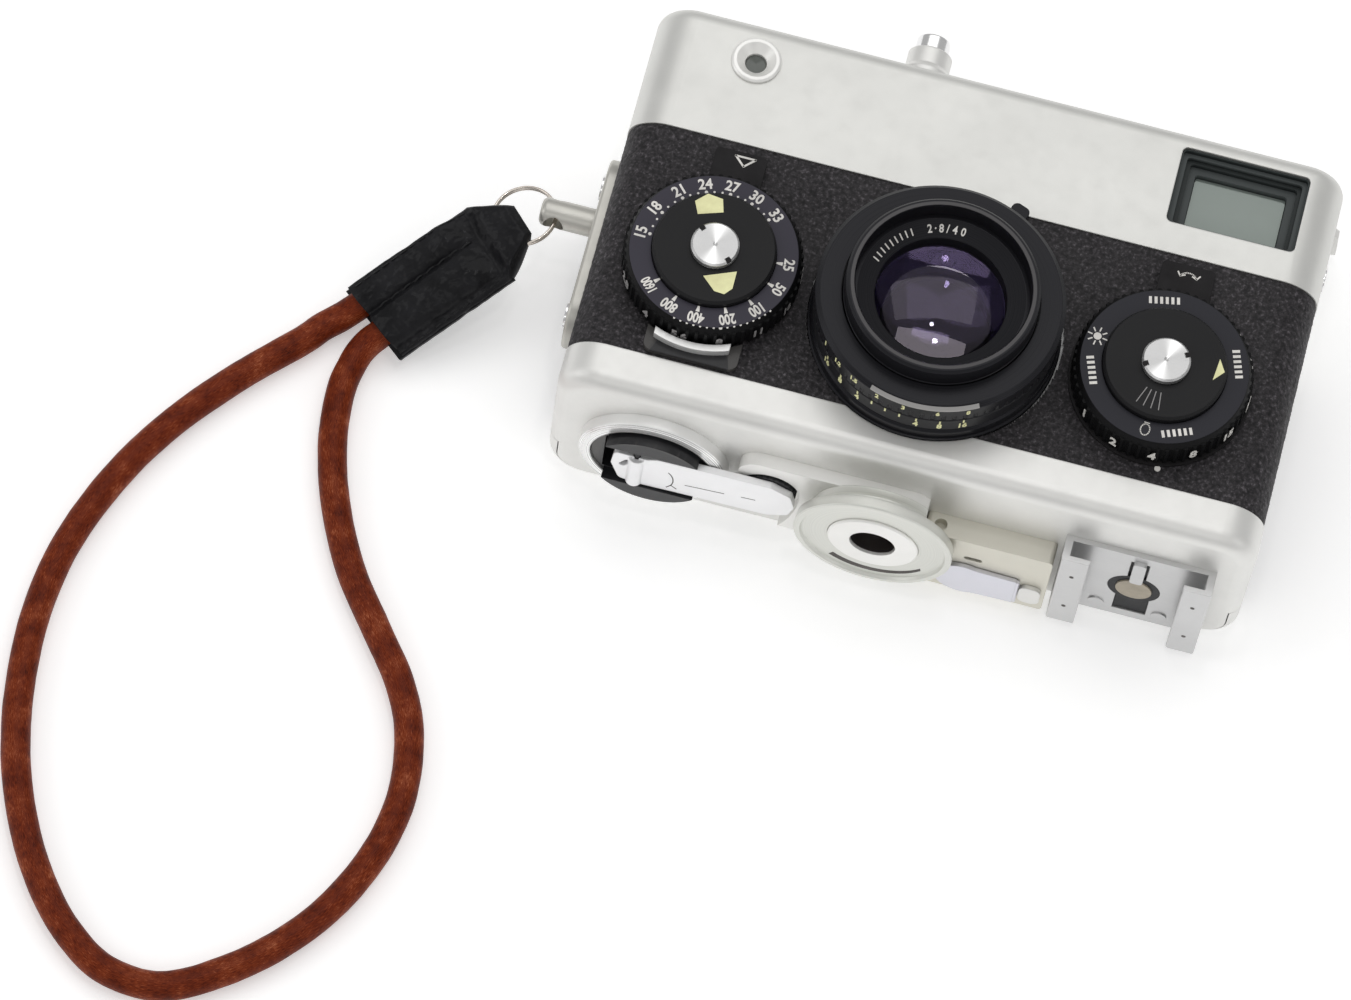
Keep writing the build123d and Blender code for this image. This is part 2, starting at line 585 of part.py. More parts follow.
CRANK_ARM = [                     # (x, z)
    (-37.6, 16.9), (-37.9, 13.6), (-36.6, 9.6), (-33.4, 9.1), (-29.0, 9.3), (-15.9, 9.6),
    (-13.0, 11.0), (-12.3, 13.6), (-13.0, 16.4), (-15.9, 17.9), (-24.0, 17.8),
    (-31.6, 17.6), (-33.0, 16.8)]
with BuildPart() as rewind_crank:
    with BuildSketch(plane_y(Y_ARM_TOP)) as sk:
        with BuildLine():
            Polyline(*CRANK_ARM, close=True)
        make_face()
        fillet(sk.vertices(), 0.9)
        with Locations((-36.0, 14.4)):
            SlotOverall(2.2, 0.9, rotation=60, mode=CUT)
    extrude(sk.sketch, amount=Y_ARM_TOP - Y_ARM_LOW)
    rod_z(CRANK_PIN, 1.2, 9.3, 16.5)
    rod_z(CRANK_PIN, 0.57, 5, 21, CUT)
    rod_y(KNOB, 0.9, -21.6, Y_ARM_TOP)
save(rewind_crank, "rewind_crank")

with BuildPart() as crank_knob:
    with BuildSketch(plane_y(-21.45)) as sk:
        with Locations(KNOB):
            Circle(R_KNOB)
            with PolarLocations(R_KNOB + 0.1, 26):
                Circle(0.3, mode=CUT)
            Circle(0.97, mode=CUT)
    extrude(sk.sketch, amount=1.85)
save(crank_knob, "crank_knob")

# Base plate: its left end is cut away behind the folded crank knob, so that the
# knob can leave its nest backwards.
rewind_x, rewind_z = REWIND
R_SWING = 20.5
with BuildPart() as base_plate:
    slab(-20.8, 6.2, 4.4, 21.3, Y_BASE, Y_PLATE, r=3.2)
    with BuildSketch(plane_y(Y_BASE + 1)) as sk:
        with BuildLine():
            front_end = (rewind_x + 20.45, rewind_z + 1.4)
            back_end = (rewind_x, rewind_z - R_SWING)
            Line(REWIND, front_end)
            RadiusArc(front_end, back_end, R_SWING)
            Line(back_end, REWIND)
        make_face()
        with Locations(KNOB):
            Circle(R_KNOB + 0.35)
    extrude(sk.sketch, amount=4, mode=CUT)
    rod_y(TRIPOD, 3.9, -20, -24, CUT)
    slab(5.35, 8.05, -5, 25, Y_BASE + 1, Y_BASE - 3, CUT)
save(base_plate, "base_plate")

with BuildPart() as tripod_boss:
    turned_y(TRIPOD, [(3.95, Y_PLATE), (9.3, Y_PLATE), (8.6, -24.0), (8.6, -25.2),
                      (10.9, -25.4), (11.0, -26.8), (10.7, -27.0), (10.1, -27.0),
                      (9.9, -26.55), (6.35, -26.55), (6.35, -26.0), (3.95, -26.0)])
    slab(5.4, 14, 0, 30, -22, -24.6, CUT)
save(tripod_boss, "tripod_boss")

# Tripod bush, 1/4 inch, screwed in from below.
with BuildPart() as tripod_bush:
    turned_y(TRIPOD, [(0, -20.2), (3.88, -20.2), (3.88, -26.02), (6.3, -26.02),
                      (6.3, -26.75), (6.1, -26.95), (0, -26.95)])
    rod_y(TRIPOD, 3.175, -21.4, -28, CUT)
save(tripod_bush, "tripod_bush")

with BuildPart() as counter_housing:
    slab(5.5, 23.5, 2.2, 17.0, Y_BASE, -24.48, r=0.7)
    rod_y(COUNTER, 4.9, Y_BASE + 1, -24.0, CUT)
    slab(11.6, 14.1, 11.8, 12.7, Y_BASE, -25, CUT, r=0.4)
    rod_y(LATCH, 1.6, -20, -26, CUT)
    rod_z((7.5, -22.8), 0.85, 15.6, 18, CUT)
save(counter_housing, "counter_housing")

with BuildPart() as counter_wheel:
    rod_y(COUNTER, 4.75, -23.2, -23.85)
    rod_y(COUNTER, 1.0, -17.2, -23.3)
save(counter_wheel, "counter_wheel")

with BuildPart() as latch_spindle:
    rod_y(LATCH, 1.5, -18.6, -24.5)
    slab(19.9, 22.9, 4.6, 8.9, -24.5, -25.15, r=1.2)
save(latch_spindle, "latch_spindle")

with BuildPart() as latch_key:
    with BuildSketch(plane_y(-24.55)) as sk:
        with BuildLine():
            Line((19.3, 3.6), (13.5, 3.3))
            ThreePointArc((13.5, 3.3), (8.2, LATCH[1]), (13.5, 10.2))
            Line((13.5, 10.2), (19.3, 9.9))
            Line((19.3, 9.9), (19.3, 3.6))
        make_face()
    extrude(sk.sketch, amount=0.6)
    rod_z((LATCH[0], -24.85), 0.3, 3.8, 9.7)
save(latch_key, "latch_key")

X_SHOE0, X_SHOE1, Z_SHOE0, Z_SHOE1 = 24.3, 45.1, 1.6, 20.4
SHOE_WALL, SHOE_LIP = 1.05, 3.95  # side wall thickness, lip width with the wall
SHOE_CONTACT = (34.9, 10.6)
with BuildPart() as hot_shoe:
    slab(X_SHOE0, X_SHOE1, Z_SHOE0, Z_SHOE1, Y_BASE, Y_BASE - 0.75)
    for wall_x0, lip_x0 in ((X_SHOE0, X_SHOE0), (X_SHOE1 - SHOE_WALL, X_SHOE1 - SHOE_LIP)):
        slab(wall_x0, wall_x0 + SHOE_WALL, Z_SHOE0, Z_SHOE1, Y_BASE, -25.0)
        slab(lip_x0, lip_x0 + SHOE_LIP, Z_SHOE0, Z_SHOE1, -24.2, -25.0)
    fillet(hot_shoe.edges().filter_by(Axis.Z).group_by(Axis.Y)[0], 0.35)
    rod_y(SHOE_CONTACT, 3.65, -20, -23, CUT)
    slab(32.7, 37.4, 3.4, 8.6, -20, -23, CUT)
    slab(33.6, 36.2, 12.0, 18.6, -20, -23, CUT)
    slab(34.0, 35.8, 13.3, 19.0, Y_BASE - 0.74, Y_BASE - 1.35, r=0.5)
    for rivet_x in (30.4, 39.2):
        rod_y((rivet_x, 4.2), 1.1, Y_BASE - 0.7, Y_BASE - 0.95)
save(hot_shoe, "hot_shoe")

with BuildPart() as shoe_insulator:
    rod_y(SHOE_CONTACT, 3.6, Y_BASE, Y_BASE - 0.72)
    slab(32.75, 37.35, 3.45, 8.6, Y_BASE, Y_BASE - 0.5)
    slab(33.65, 36.15, 12.0, 18.55, Y_BASE, Y_BASE - 0.4)
save(shoe_insulator, "shoe_insulator")

with BuildPart() as shoe_contact:
    rod_y(SHOE_CONTACT, 2.5, Y_BASE - 0.72, Y_BASE - 0.95)
save(shoe_contact, "shoe_contact")

# =============================================================== strap fittings
X_SEAT = X_CENTRE - WIDTH / 2 + LEATHER_SINK   # leatherette face under the plate
STRAP_PLATE = 1.65                # plate thickness
X_EYE = -54.2                     # cross hole in the lug

with BuildPart() as strap_plate:
    with BuildSketch(plane_x(X_SEAT - STRAP_PLATE)) as sk:
        with Locations((4.9, LUG[1])):
            RectangleRounded(28.2, 10.4, 4.6)
        with Locations(*STRAP_SCREWS):
            Circle(1.05, mode=CUT)
    extrude(sk.sketch, amount=STRAP_PLATE)
    fillet(strap_plate.faces().sort_by(Axis.X)[0].outer_wire().edges(), 0.5)
    rod_x(LUG, 2.0, -56.4, -45.95)
    fillet(strap_plate.edges().group_by(Axis.X)[0], 0.9)
    rod_y((X_EYE, LUG[1]), 1.42, LUG[0] + 3, LUG[0] - 3, CUT)
save(strap_plate, "strap_plate")


def slotted_screw(axis, seat_x, way, shank, r_head):
    """Screw along X; its head stands out from seat_x towards way (-1 or 1)."""
    rod_x(axis, 1.0, *sorted((seat_x, seat_x - way * shank)))
    rod_x(axis, r_head, *sorted((seat_x, seat_x + way * 0.45)))
    with BuildSketch(plane_x(min(seat_x + way * 0.2, seat_x + way * 0.6))) as sk:
        with Locations(axis):
            Rectangle(4.0, 0.4)
    extrude(sk.sketch, amount=0.4, mode=CUT)


# Screws of the two ends of the top cover and of the strap plate.
with BuildPart() as side_screws:
    for way in (-1, 1):
        slotted_screw(END_SCREW, X_CENTRE + way * WIDTH / 2, way, shank=2.6, r_head=1.7)
    for axis in STRAP_SCREWS:
        slotted_screw(axis, X_SEAT - STRAP_PLATE, -1, shank=STRAP_PLATE + 1.7, r_head=1.75)
save(side_screws, "side_screws")

# Split ring through the lug, tilted about Y.
RING_TILT, R_RING, R_WIRE = radians(14.0), 4.45, 0.42
ring_x = Vector(cos(RING_TILT), 0, sin(RING_TILT))
ring_normal = Vector(-sin(RING_TILT), 0, cos(RING_TILT))
ring_centre = Vector(X_EYE, *LUG) - ring_x * 4.34 - Vector(0, 1.0, 0)
with BuildPart() as split_ring:
    with BuildSketch(Plane(origin=ring_centre + ring_x * R_RING, x_dir=ring_x,
                           z_dir=(0, -1, 0))) as sk:
        Circle(R_WIRE)
    revolve(sk.sketch, axis=Axis(ring_centre, ring_normal))
save(split_ring, "split_ring")

# Leather sleeve: slit at its tip, bored at its foot for the cord's two ends.
SLEEVE_FOOT = Vector(-74.6, -8.42, 3.35)
along = Vector(15.97, 15.56, 11.2).normalized()      # foot to tip
across = Vector(-0.698, 0.716, 0).normalized()
sleeve_plane = Plane(origin=SLEEVE_FOOT, x_dir=along, z_dir=along.cross(across))
R_CORD, Z_CORD = 2.05, 2.1
cord_ends = [SLEEVE_FOOT + across * offset for offset in (3.9, -1.3)]
SLEEVE_OUTLINE = [(-1.3, 6.45), (1.3, -6.45), (19.7, -6.45), (24.9, -2.7), (24.9, 2.7),
                  (19.7, 6.45)]   # (along, across)
with BuildPart() as strap_sleeve:
    with BuildSketch(sleeve_plane) as sk:
        with BuildLine():
            Polyline(*SLEEVE_OUTLINE, close=True)
        make_face()
    extrude(sk.sketch, amount=3.0, both=True)
    with BuildSketch(sleeve_plane) as sk:
        with Locations((25.0, 0)):
            Rectangle(10.0, 20)
    extrude(sk.sketch, amount=2.15, both=True, mode=CUT)
    for end in cord_ends:
        with BuildSketch(Plane(origin=end - along * 4, x_dir=across, z_dir=along)) as sk:
            Circle(R_CORD + 0.12)
        extrude(sk.sketch, amount=4 + 14.6, mode=CUT)
save(strap_sleeve, "strap_sleeve")

CORD_LOOP = [                     # (x, y) of the loop lying at Z_CORD
    (-84.06, -12.98), (-97.55, -29.55), (-106.42, -50.38), (-106.95, -72.59),
    (-101.0, -92.14), (-91.19, -105.54), (-77.49, -109.9), (-63.29, -99.55),
    (-54.67, -83.58), (-54.77, -65.6), (-63.11, -51.76), (-73.09, -35.3),
    (-76.75, -18.85)]
IN_SLEEVE = (14.0, 7.0, 0.6)      # cord stations, from the sleeve foot
with BuildPart() as strap_cord:
    cord_points = [cord_ends[0] + along * station for station in IN_SLEEVE]
    cord_points += [Vector(-79.24, -7.50, 2.45), Vector(-81.67, -9.87, Z_CORD)]
    cord_points += [Vector(x, y, Z_CORD) for x, y in CORD_LOOP]
    cord_points += [Vector(-76.3, -14.3, Z_CORD), Vector(-75.25, -11.25, 2.5)]
    cord_points += [cord_ends[1] + along * station for station in reversed(IN_SLEEVE)]
    with BuildLine() as path:
        Spline(*cord_points)
    cord_edge = path.edges()[0]
    with BuildSketch(Plane(origin=cord_points[0], z_dir=cord_edge.tangent_at(0))) as sk:
        Circle(R_CORD)
    sweep(sk.sketch, path=cord_edge, is_frenet=True)
save(strap_cord, "strap_cord")
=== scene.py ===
import bpy
import bmesh
import json
import math
import random
import numpy as np
from mathutils import Vector, Matrix, noise


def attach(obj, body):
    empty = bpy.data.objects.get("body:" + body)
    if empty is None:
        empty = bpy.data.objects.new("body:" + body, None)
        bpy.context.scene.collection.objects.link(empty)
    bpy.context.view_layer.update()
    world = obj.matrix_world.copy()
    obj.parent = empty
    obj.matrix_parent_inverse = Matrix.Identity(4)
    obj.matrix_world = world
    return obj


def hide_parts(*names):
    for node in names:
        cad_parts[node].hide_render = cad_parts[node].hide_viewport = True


MM = 0.001
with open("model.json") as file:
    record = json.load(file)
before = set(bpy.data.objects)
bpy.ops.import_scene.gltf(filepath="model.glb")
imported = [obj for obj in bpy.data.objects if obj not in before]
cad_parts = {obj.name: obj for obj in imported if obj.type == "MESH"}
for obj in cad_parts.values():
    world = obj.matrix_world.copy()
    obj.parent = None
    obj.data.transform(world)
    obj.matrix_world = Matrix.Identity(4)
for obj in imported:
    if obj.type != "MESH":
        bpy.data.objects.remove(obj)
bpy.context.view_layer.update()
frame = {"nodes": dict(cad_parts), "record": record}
nodes = frame["nodes"]
scene = bpy.context.scene


# ---------------------------------------------------------------- materials
def new_mat(name):
    m = bpy.data.materials.new(name)
    m.use_nodes = True
    nt = m.node_tree
    nt.nodes.clear()
    out = nt.nodes.new("ShaderNodeOutputMaterial")
    b = nt.nodes.new("ShaderNodeBsdfPrincipled")
    nt.links.new(b.outputs[0], out.inputs[0])
    return m, nt, b


def coords(nt, scale=(1000, 1000, 1000), rot=(0, 0, 0)):
    """Row-frame coordinates in millimetres, times an optional extra scale."""
    tc = nt.nodes.new("ShaderNodeTexCoord")
    mp = nt.nodes.new("ShaderNodeMapping")
    mp.inputs["Scale"].default_value = scale
    mp.inputs["Rotation"].default_value = rot
    nt.links.new(tc.outputs["Object"], mp.inputs["Vector"])
    return mp.outputs[0]


def noise_tex(nt, vec, scale, detail=3.0, rough=0.5):
    n = nt.nodes.new("ShaderNodeTexNoise")
    n.inputs["Scale"].default_value = scale
    n.inputs["Detail"].default_value = detail
    n.inputs["Roughness"].default_value = rough
    nt.links.new(vec, n.inputs["Vector"])
    return n.outputs["Fac"]


def ramp(nt, fac, stops):
    r = nt.nodes.new("ShaderNodeValToRGB")
    els = r.color_ramp.elements
    while len(els) < len(stops):
        els.new(0.5)
    for e, (p, c) in zip(els, stops):
        e.position = p
        e.color = (c[0], c[1], c[2], 1) if not isinstance(c, (int, float)) else (c, c, c, 1)
    nt.links.new(fac, r.inputs[0])
    return r.outputs[0]


def maprange(nt, fac, a, b, lo, hi):
    r = nt.nodes.new("ShaderNodeMapRange")
    for i, v in zip((1, 2, 3, 4), (a, b, lo, hi)):
        r.inputs[i].default_value = v
    nt.links.new(fac, r.inputs[0])
    return r.outputs[0]


def math_node(nt, op, a, b=None, c=None):
    n = nt.nodes.new("ShaderNodeMath")
    n.operation = op
    for i, v in enumerate((a, b, c)):
        if v is None:
            continue
        if isinstance(v, (int, float)):
            n.inputs[i].default_value = v
        else:
            nt.links.new(v, n.inputs[i])
    return n.outputs[0]


def bump(nt, height, strength, dist_mm, normal=None):
    n = nt.nodes.new("ShaderNodeBump")
    n.inputs["Strength"].default_value = strength
    n.inputs["Distance"].default_value = dist_mm * MM
    nt.links.new(height, n.inputs["Height"])
    if normal is not None:
        nt.links.new(normal, n.inputs["Normal"])
    return n.outputs[0]


def bevel(nt, radius_mm):
    n = nt.nodes.new("ShaderNodeBevel")
    n.samples = 4
    n.inputs["Radius"].default_value = radius_mm * MM
    return n.outputs[0]


def metal(name, colour, rough, grain=0.06, bev=0.12, metallic=1.0, blast=0.15, worn=None, aniso=0.0, stretch=None):
    """Plated or blasted metal: fine grain, uneven roughness, faint handling marks, softened edges."""
    m, nt, b = new_mat(name)
    v = coords(nt)
    vf = coords(nt, scale=stretch) if stretch else v
    fine = noise_tex(nt, vf, 9.0 if not stretch else 1.0, 2.0, 0.6)
    broad = noise_tex(nt, v, 0.09, 4.0, 0.6)
    smudge = noise_tex(nt, v, 0.35, 5.0, 0.65)
    r1 = maprange(nt, fine, 0.3, 0.7, rough - grain, rough + grain)
    r2 = maprange(nt, smudge, 0.45, 0.75, 0.0, grain * 1.2)
    rr = math_node(nt, "ADD", r1, r2)
    nt.links.new(rr, b.inputs["Roughness"])
    c0 = tuple(min(1, c * 0.955) for c in colour)
    c1 = tuple(min(1, c * 1.03) for c in colour)
    col = ramp(nt, broad, [(0.3, c0), (0.7, c1)])
    if worn:
        mix = nt.nodes.new("ShaderNodeMix")
        mix.data_type = "RGBA"
        mask = ramp(nt, noise_tex(nt, v, 0.8, 6.0, 0.7), [(0.62, 0.0), (0.72, 1.0)])
        nt.links.new(math_node(nt, "MULTIPLY", mask, 0.35), mix.inputs[0])
        nt.links.new(col, mix.inputs[6])
        mix.inputs[7].default_value = (*worn, 1)
        col = mix.outputs[2]
    nt.links.new(col, b.inputs["Base Color"])
    b.inputs["Metallic"].default_value = metallic
    if aniso:
        b.inputs["Anisotropic"].default_value = aniso
        t = nt.nodes.new("ShaderNodeTangent")
        t.direction_type = "RADIAL"
        t.axis = "Z"
        nt.links.new(t.outputs[0], b.inputs["Tangent"])
    nrm = bevel(nt, bev) if bev else None
    if blast:
        nrm = bump(nt, fine, blast, 0.02, nrm)
    if nrm is not None:
        nt.links.new(nrm, b.inputs["Normal"])
    return m


def turned(name, colour, rough, cx, cy, axis="Z", pitch=0.12, depth=0.35, metallic=1.0, bev=0.1, aniso=0.55, painted_highlight_deg=None):
    """Lathe-turned metal with fine rings round an axis through (cx, cy). With an angle given, a painted bow-tie
    highlight is mixed into the base colour.
    """
    m, nt, b = new_mat(name)
    v = coords(nt)
    sep = nt.nodes.new("ShaderNodeSeparateXYZ")
    nt.links.new(v, sep.inputs[0])
    a, c = (0, 1) if axis == "Z" else (0, 2)
    dx = math_node(nt, "SUBTRACT", sep.outputs[a], cx)
    dy = math_node(nt, "SUBTRACT", sep.outputs[c], cy)
    r = math_node(nt, "SQRT", math_node(nt, "ADD", math_node(nt, "MULTIPLY", dx, dx), math_node(nt, "MULTIPLY", dy, dy)))
    n1 = nt.nodes.new("ShaderNodeTexNoise")
    n1.noise_dimensions = "1D"
    n1.inputs["Scale"].default_value = 1.0 / pitch
    n1.inputs["Detail"].default_value = 2.0
    nt.links.new(r, n1.inputs["W"])
    fine = n1.outputs["Fac"]
    nt.links.new(maprange(nt, fine, 0.3, 0.7, rough - 0.05, rough + 0.07), b.inputs["Roughness"])
    nt.links.new(ramp(nt, fine, [(0.3, tuple(x * 0.93 for x in colour)), (0.7, tuple(min(1, x * 1.04) for x in colour))]),
                 b.inputs["Base Color"])
    # painted highlight: a white bow-tie mixed into the base colour along this angle, in place of the turned metal's
    # reflection
    if painted_highlight_deg is not None:
        ang = math_node(nt, "SUBTRACT", math_node(nt, "ARCTAN2", dy, dx), math.radians(painted_highlight_deg))
        ray = math_node(nt, "POWER", math_node(nt, "ABSOLUTE", math_node(nt, "COSINE", ang)), 14.0)
        mix = nt.nodes.new("ShaderNodeMix")
        mix.data_type = "RGBA"
        nt.links.new(ray, mix.inputs[0])
        nt.links.new(b.inputs["Base Color"].links[0].from_socket, mix.inputs[6])
        mix.inputs[7].default_value = (1.0, 1.0, 1.0, 1)
        nt.links.new(mix.outputs[2], b.inputs["Base Color"])
    b.inputs["Metallic"].default_value = metallic
    b.inputs["Anisotropic"].default_value = aniso
    if metallic < 0.5:
        b.inputs["Specular IOR Level"].default_value = 0.2
    t = nt.nodes.new("ShaderNodeTangent")
    t.direction_type = "RADIAL"
    t.axis = axis
    nt.links.new(t.outputs[0], b.inputs["Tangent"])
    nt.links.new(bump(nt, fine, depth, 0.012, bevel(nt, bev)), b.inputs["Normal"])
    return m


def paint(name, colour, rough, grain=0.05, bev=0.12, bumpy=0.1, scale=6.0, coat=0.0, worn=None, spec=0.28):
    """Enamel, anodised or moulded finish: slight orange peel, dust and uneven sheen."""
    m, nt, b = new_mat(name)
    v = coords(nt)
    fine = noise_tex(nt, v, scale, 3.0, 0.6)
    broad = noise_tex(nt, v, 0.25, 5.0, 0.6)
    nt.links.new(maprange(nt, fine, 0.3, 0.7, rough - grain, rough + grain), b.inputs["Roughness"])
    c0 = tuple(c * 0.8 for c in colour)
    c1 = tuple(min(1, c * 1.22 + 0.002) for c in colour)
    col = ramp(nt, broad, [(0.3, c0), (0.72, c1)])
    if worn:
        geo = nt.nodes.new("ShaderNodeNewGeometry")
        mask = ramp(nt, math_node(nt, "ADD", geo.outputs["Pointiness"], math_node(nt, "MULTIPLY", fine, 0.06)),
                    [(0.56, 0.0), (0.62, 1.0)])
        mix = nt.nodes.new("ShaderNodeMix")
        mix.data_type = "RGBA"
        nt.links.new(math_node(nt, "MULTIPLY", mask, 0.6), mix.inputs[0])
        nt.links.new(col, mix.inputs[6])
        mix.inputs[7].default_value = (*worn, 1)
        col = mix.outputs[2]
    nt.links.new(col, b.inputs["Base Color"])
    b.inputs["Specular IOR Level"].default_value = spec
    b.inputs["Coat Weight"].default_value = coat
    b.inputs["Coat Roughness"].default_value = 0.12
    nt.links.new(bump(nt, fine, bumpy, 0.02, bevel(nt, bev)), b.inputs["Normal"])
    return m


MATS = {
    "satin_silver": metal("satin_silver", (0.80, 0.797, 0.775), 0.46, 0.05, 0.25, 0.72, 0.35),
    "cream_nickel": metal("cream_nickel", (0.70, 0.68, 0.60), 0.42, 0.05, 0.2, 0.7, 0.25),
    "bright_chrome": metal("bright_chrome", (0.82, 0.82, 0.82), 0.16, 0.05, 0.12, 1.0, 0.08),
    "steel": metal("steel", (0.56, 0.56, 0.57), 0.3, 0.06, 0.08, 1.0, 0.15),
    "cast_alloy": metal("cast_alloy", (0.42, 0.42, 0.42), 0.55, 0.08, 0.15, 0.85, 0.5),
    "brass": metal("brass", (0.72, 0.55, 0.27), 0.3, 0.07, 0.08, 1.0, 0.2),
    "black_enamel": paint("black_enamel", (0.012, 0.012, 0.014), 0.36, 0.05, 0.14, 0.10, 7.0, 0.15, (0.09, 0.085, 0.08)),
    "black_plastic": paint("black_plastic", (0.02, 0.02, 0.022), 0.5, 0.06, 0.1, 0.15),
    "beige_plastic": paint("beige_plastic", (0.42, 0.37, 0.29), 0.45, 0.06, 0.08, 0.1),
    "dial_grey": paint("dial_grey", (0.05, 0.045, 0.062), 0.42, 0.06, 0.08, 0.15, 9.0),
}
M_BARREL = turned("lens_black", (0.016, 0.016, 0.019), 0.3, 0, 0, "Z", 0.1, 0.25, 0.35, 0.15, 0.4)
# both caps carry a painted bow-tie highlight, at 90 and 76 degrees
M_CAP_L = turned("cap_left", (0.52, 0.52, 0.52), 0.34, -31.1, 0, "Z", 0.1, 0.3, 0.8, 0.1, 0.5, 90.0)
M_CAP_R = turned("cap_right", (0.52, 0.52, 0.52), 0.34, 31.3, 0, "Z", 0.1, 0.3, 0.8, 0.1, 0.5, 76.0)
M_DISC_L = turned("disc_left", (0.011, 0.011, 0.012), 0.46, -31.1, 0, "Z", 0.16, 0.3, 0.0, 0.08, 0.5)
M_DISC_R = turned("disc_right", (0.011, 0.011, 0.012), 0.46, 31.3, 0, "Z", 0.16, 0.3, 0.0, 0.08, 0.5)
M_BRUSHED = metal("brushed_plate", (0.62, 0.62, 0.62), 0.36, 0.06, 0.12, 0.85, 0.3, stretch=(400, 9000, 9000))
M_REWIND = turned("rewind_bright", (0.90, 0.90, 0.89), 0.28, -32.5, 13.6, "Y", 0.2, 0.25, 0.62, 0.3, 0.4)
M_TRIPOD = turned("tripod_turned", (0.74, 0.745, 0.70), 0.4, -0.85, 14.25, "Y", 0.12, 0.35, 0.6, 0.2, 0.4)
M_BUSH = metal("bush_white", (0.92, 0.915, 0.89), 0.42, 0.05, 0.15, 0.45, 0.15)
M_ARM = metal("crank_satin", (0.93, 0.93, 0.94), 0.38, 0.05, 0.2, 0.45, 0.25)
M_KEY = metal("key_lavender", (0.72, 0.72, 0.78), 0.34, 0.05, 0.2, 0.8, 0.2)
M_WHITE = paint("mark_white", (0.80, 0.78, 0.74), 0.5, 0.05, 0.0, 0.05)
M_YELLOW = paint("mark_yellow", (0.86, 0.82, 0.46), 0.5, 0.05, 0.0, 0.05)
# dark ink for the engraving and dots, also used for the painted shadow on the tripod disc
M_INK_AND_SHADE = paint("dark_ink_and_painted_shade", (0.10, 0.09, 0.085), 0.55, 0.05, 0.0, 0.05)
M_GREYINK = paint("mark_grey", (0.30, 0.29, 0.29), 0.55, 0.05, 0.0, 0.05)
# painted shade: near-black for flat discs that stand in for the shade inside holes
M_HOLE_SHADE = paint("painted_hole_shade", (0.012, 0.011, 0.011), 0.7, 0.05, 0.0, 0.1)


def zoned(name, src, cx, cy, rlo, rhi, zlo, zhi, colour, rough, metallic=0.0, alo=None, ahi=None):
    """Copy of a material whose finish changes inside a ring-shaped zone round a Z axis at (cx, cy)."""
    m = src.copy()
    m.name = name
    nt = m.node_tree
    b = next(n for n in nt.nodes if n.type == "BSDF_PRINCIPLED")
    sep = nt.nodes.new("ShaderNodeSeparateXYZ")
    nt.links.new(coords(nt), sep.inputs[0])
    dx = math_node(nt, "SUBTRACT", sep.outputs[0], cx)
    dy = math_node(nt, "SUBTRACT", sep.outputs[1], cy)
    r = math_node(nt, "SQRT", math_node(nt, "ADD", math_node(nt, "MULTIPLY", dx, dx), math_node(nt, "MULTIPLY", dy, dy)))
    mask = None
    for val, lo, hi in ((r, rlo, rhi), (sep.outputs[2], zlo, zhi)):
        for part in (math_node(nt, "GREATER_THAN", val, lo), math_node(nt, "LESS_THAN", val, hi)):
            mask = part if mask is None else math_node(nt, "MULTIPLY", mask, part)
    if alo is not None:
        ang = math_node(nt, "ARCTAN2", dy, dx)
        for part in (math_node(nt, "GREATER_THAN", ang, math.radians(alo)),
                     math_node(nt, "LESS_THAN", ang, math.radians(ahi))):
            mask = math_node(nt, "MULTIPLY", mask, part)
    for key, val in (("Base Color", (*colour, 1)), ("Roughness", rough), ("Metallic", metallic),
                     ("Specular IOR Level", 0.5 if metallic > 0.3 else 0.25)):
        s = b.inputs[key]
        mix = nt.nodes.new("ShaderNodeMix")
        if key == "Base Color":
            mix.data_type = "RGBA"
            ia, ib, io = 6, 7, 2
        else:
            mix.data_type = "FLOAT"
            ia, ib, io = 2, 3, 0
        if s.is_linked:
            nt.links.new(s.links[0].from_socket, mix.inputs[ia])
        else:
            mix.inputs[ia].default_value = s.default_value
        mix.inputs[ib].default_value = val
        nt.links.new(mask, mix.inputs[0])
        nt.links.new(mix.outputs[io], s)
    return m


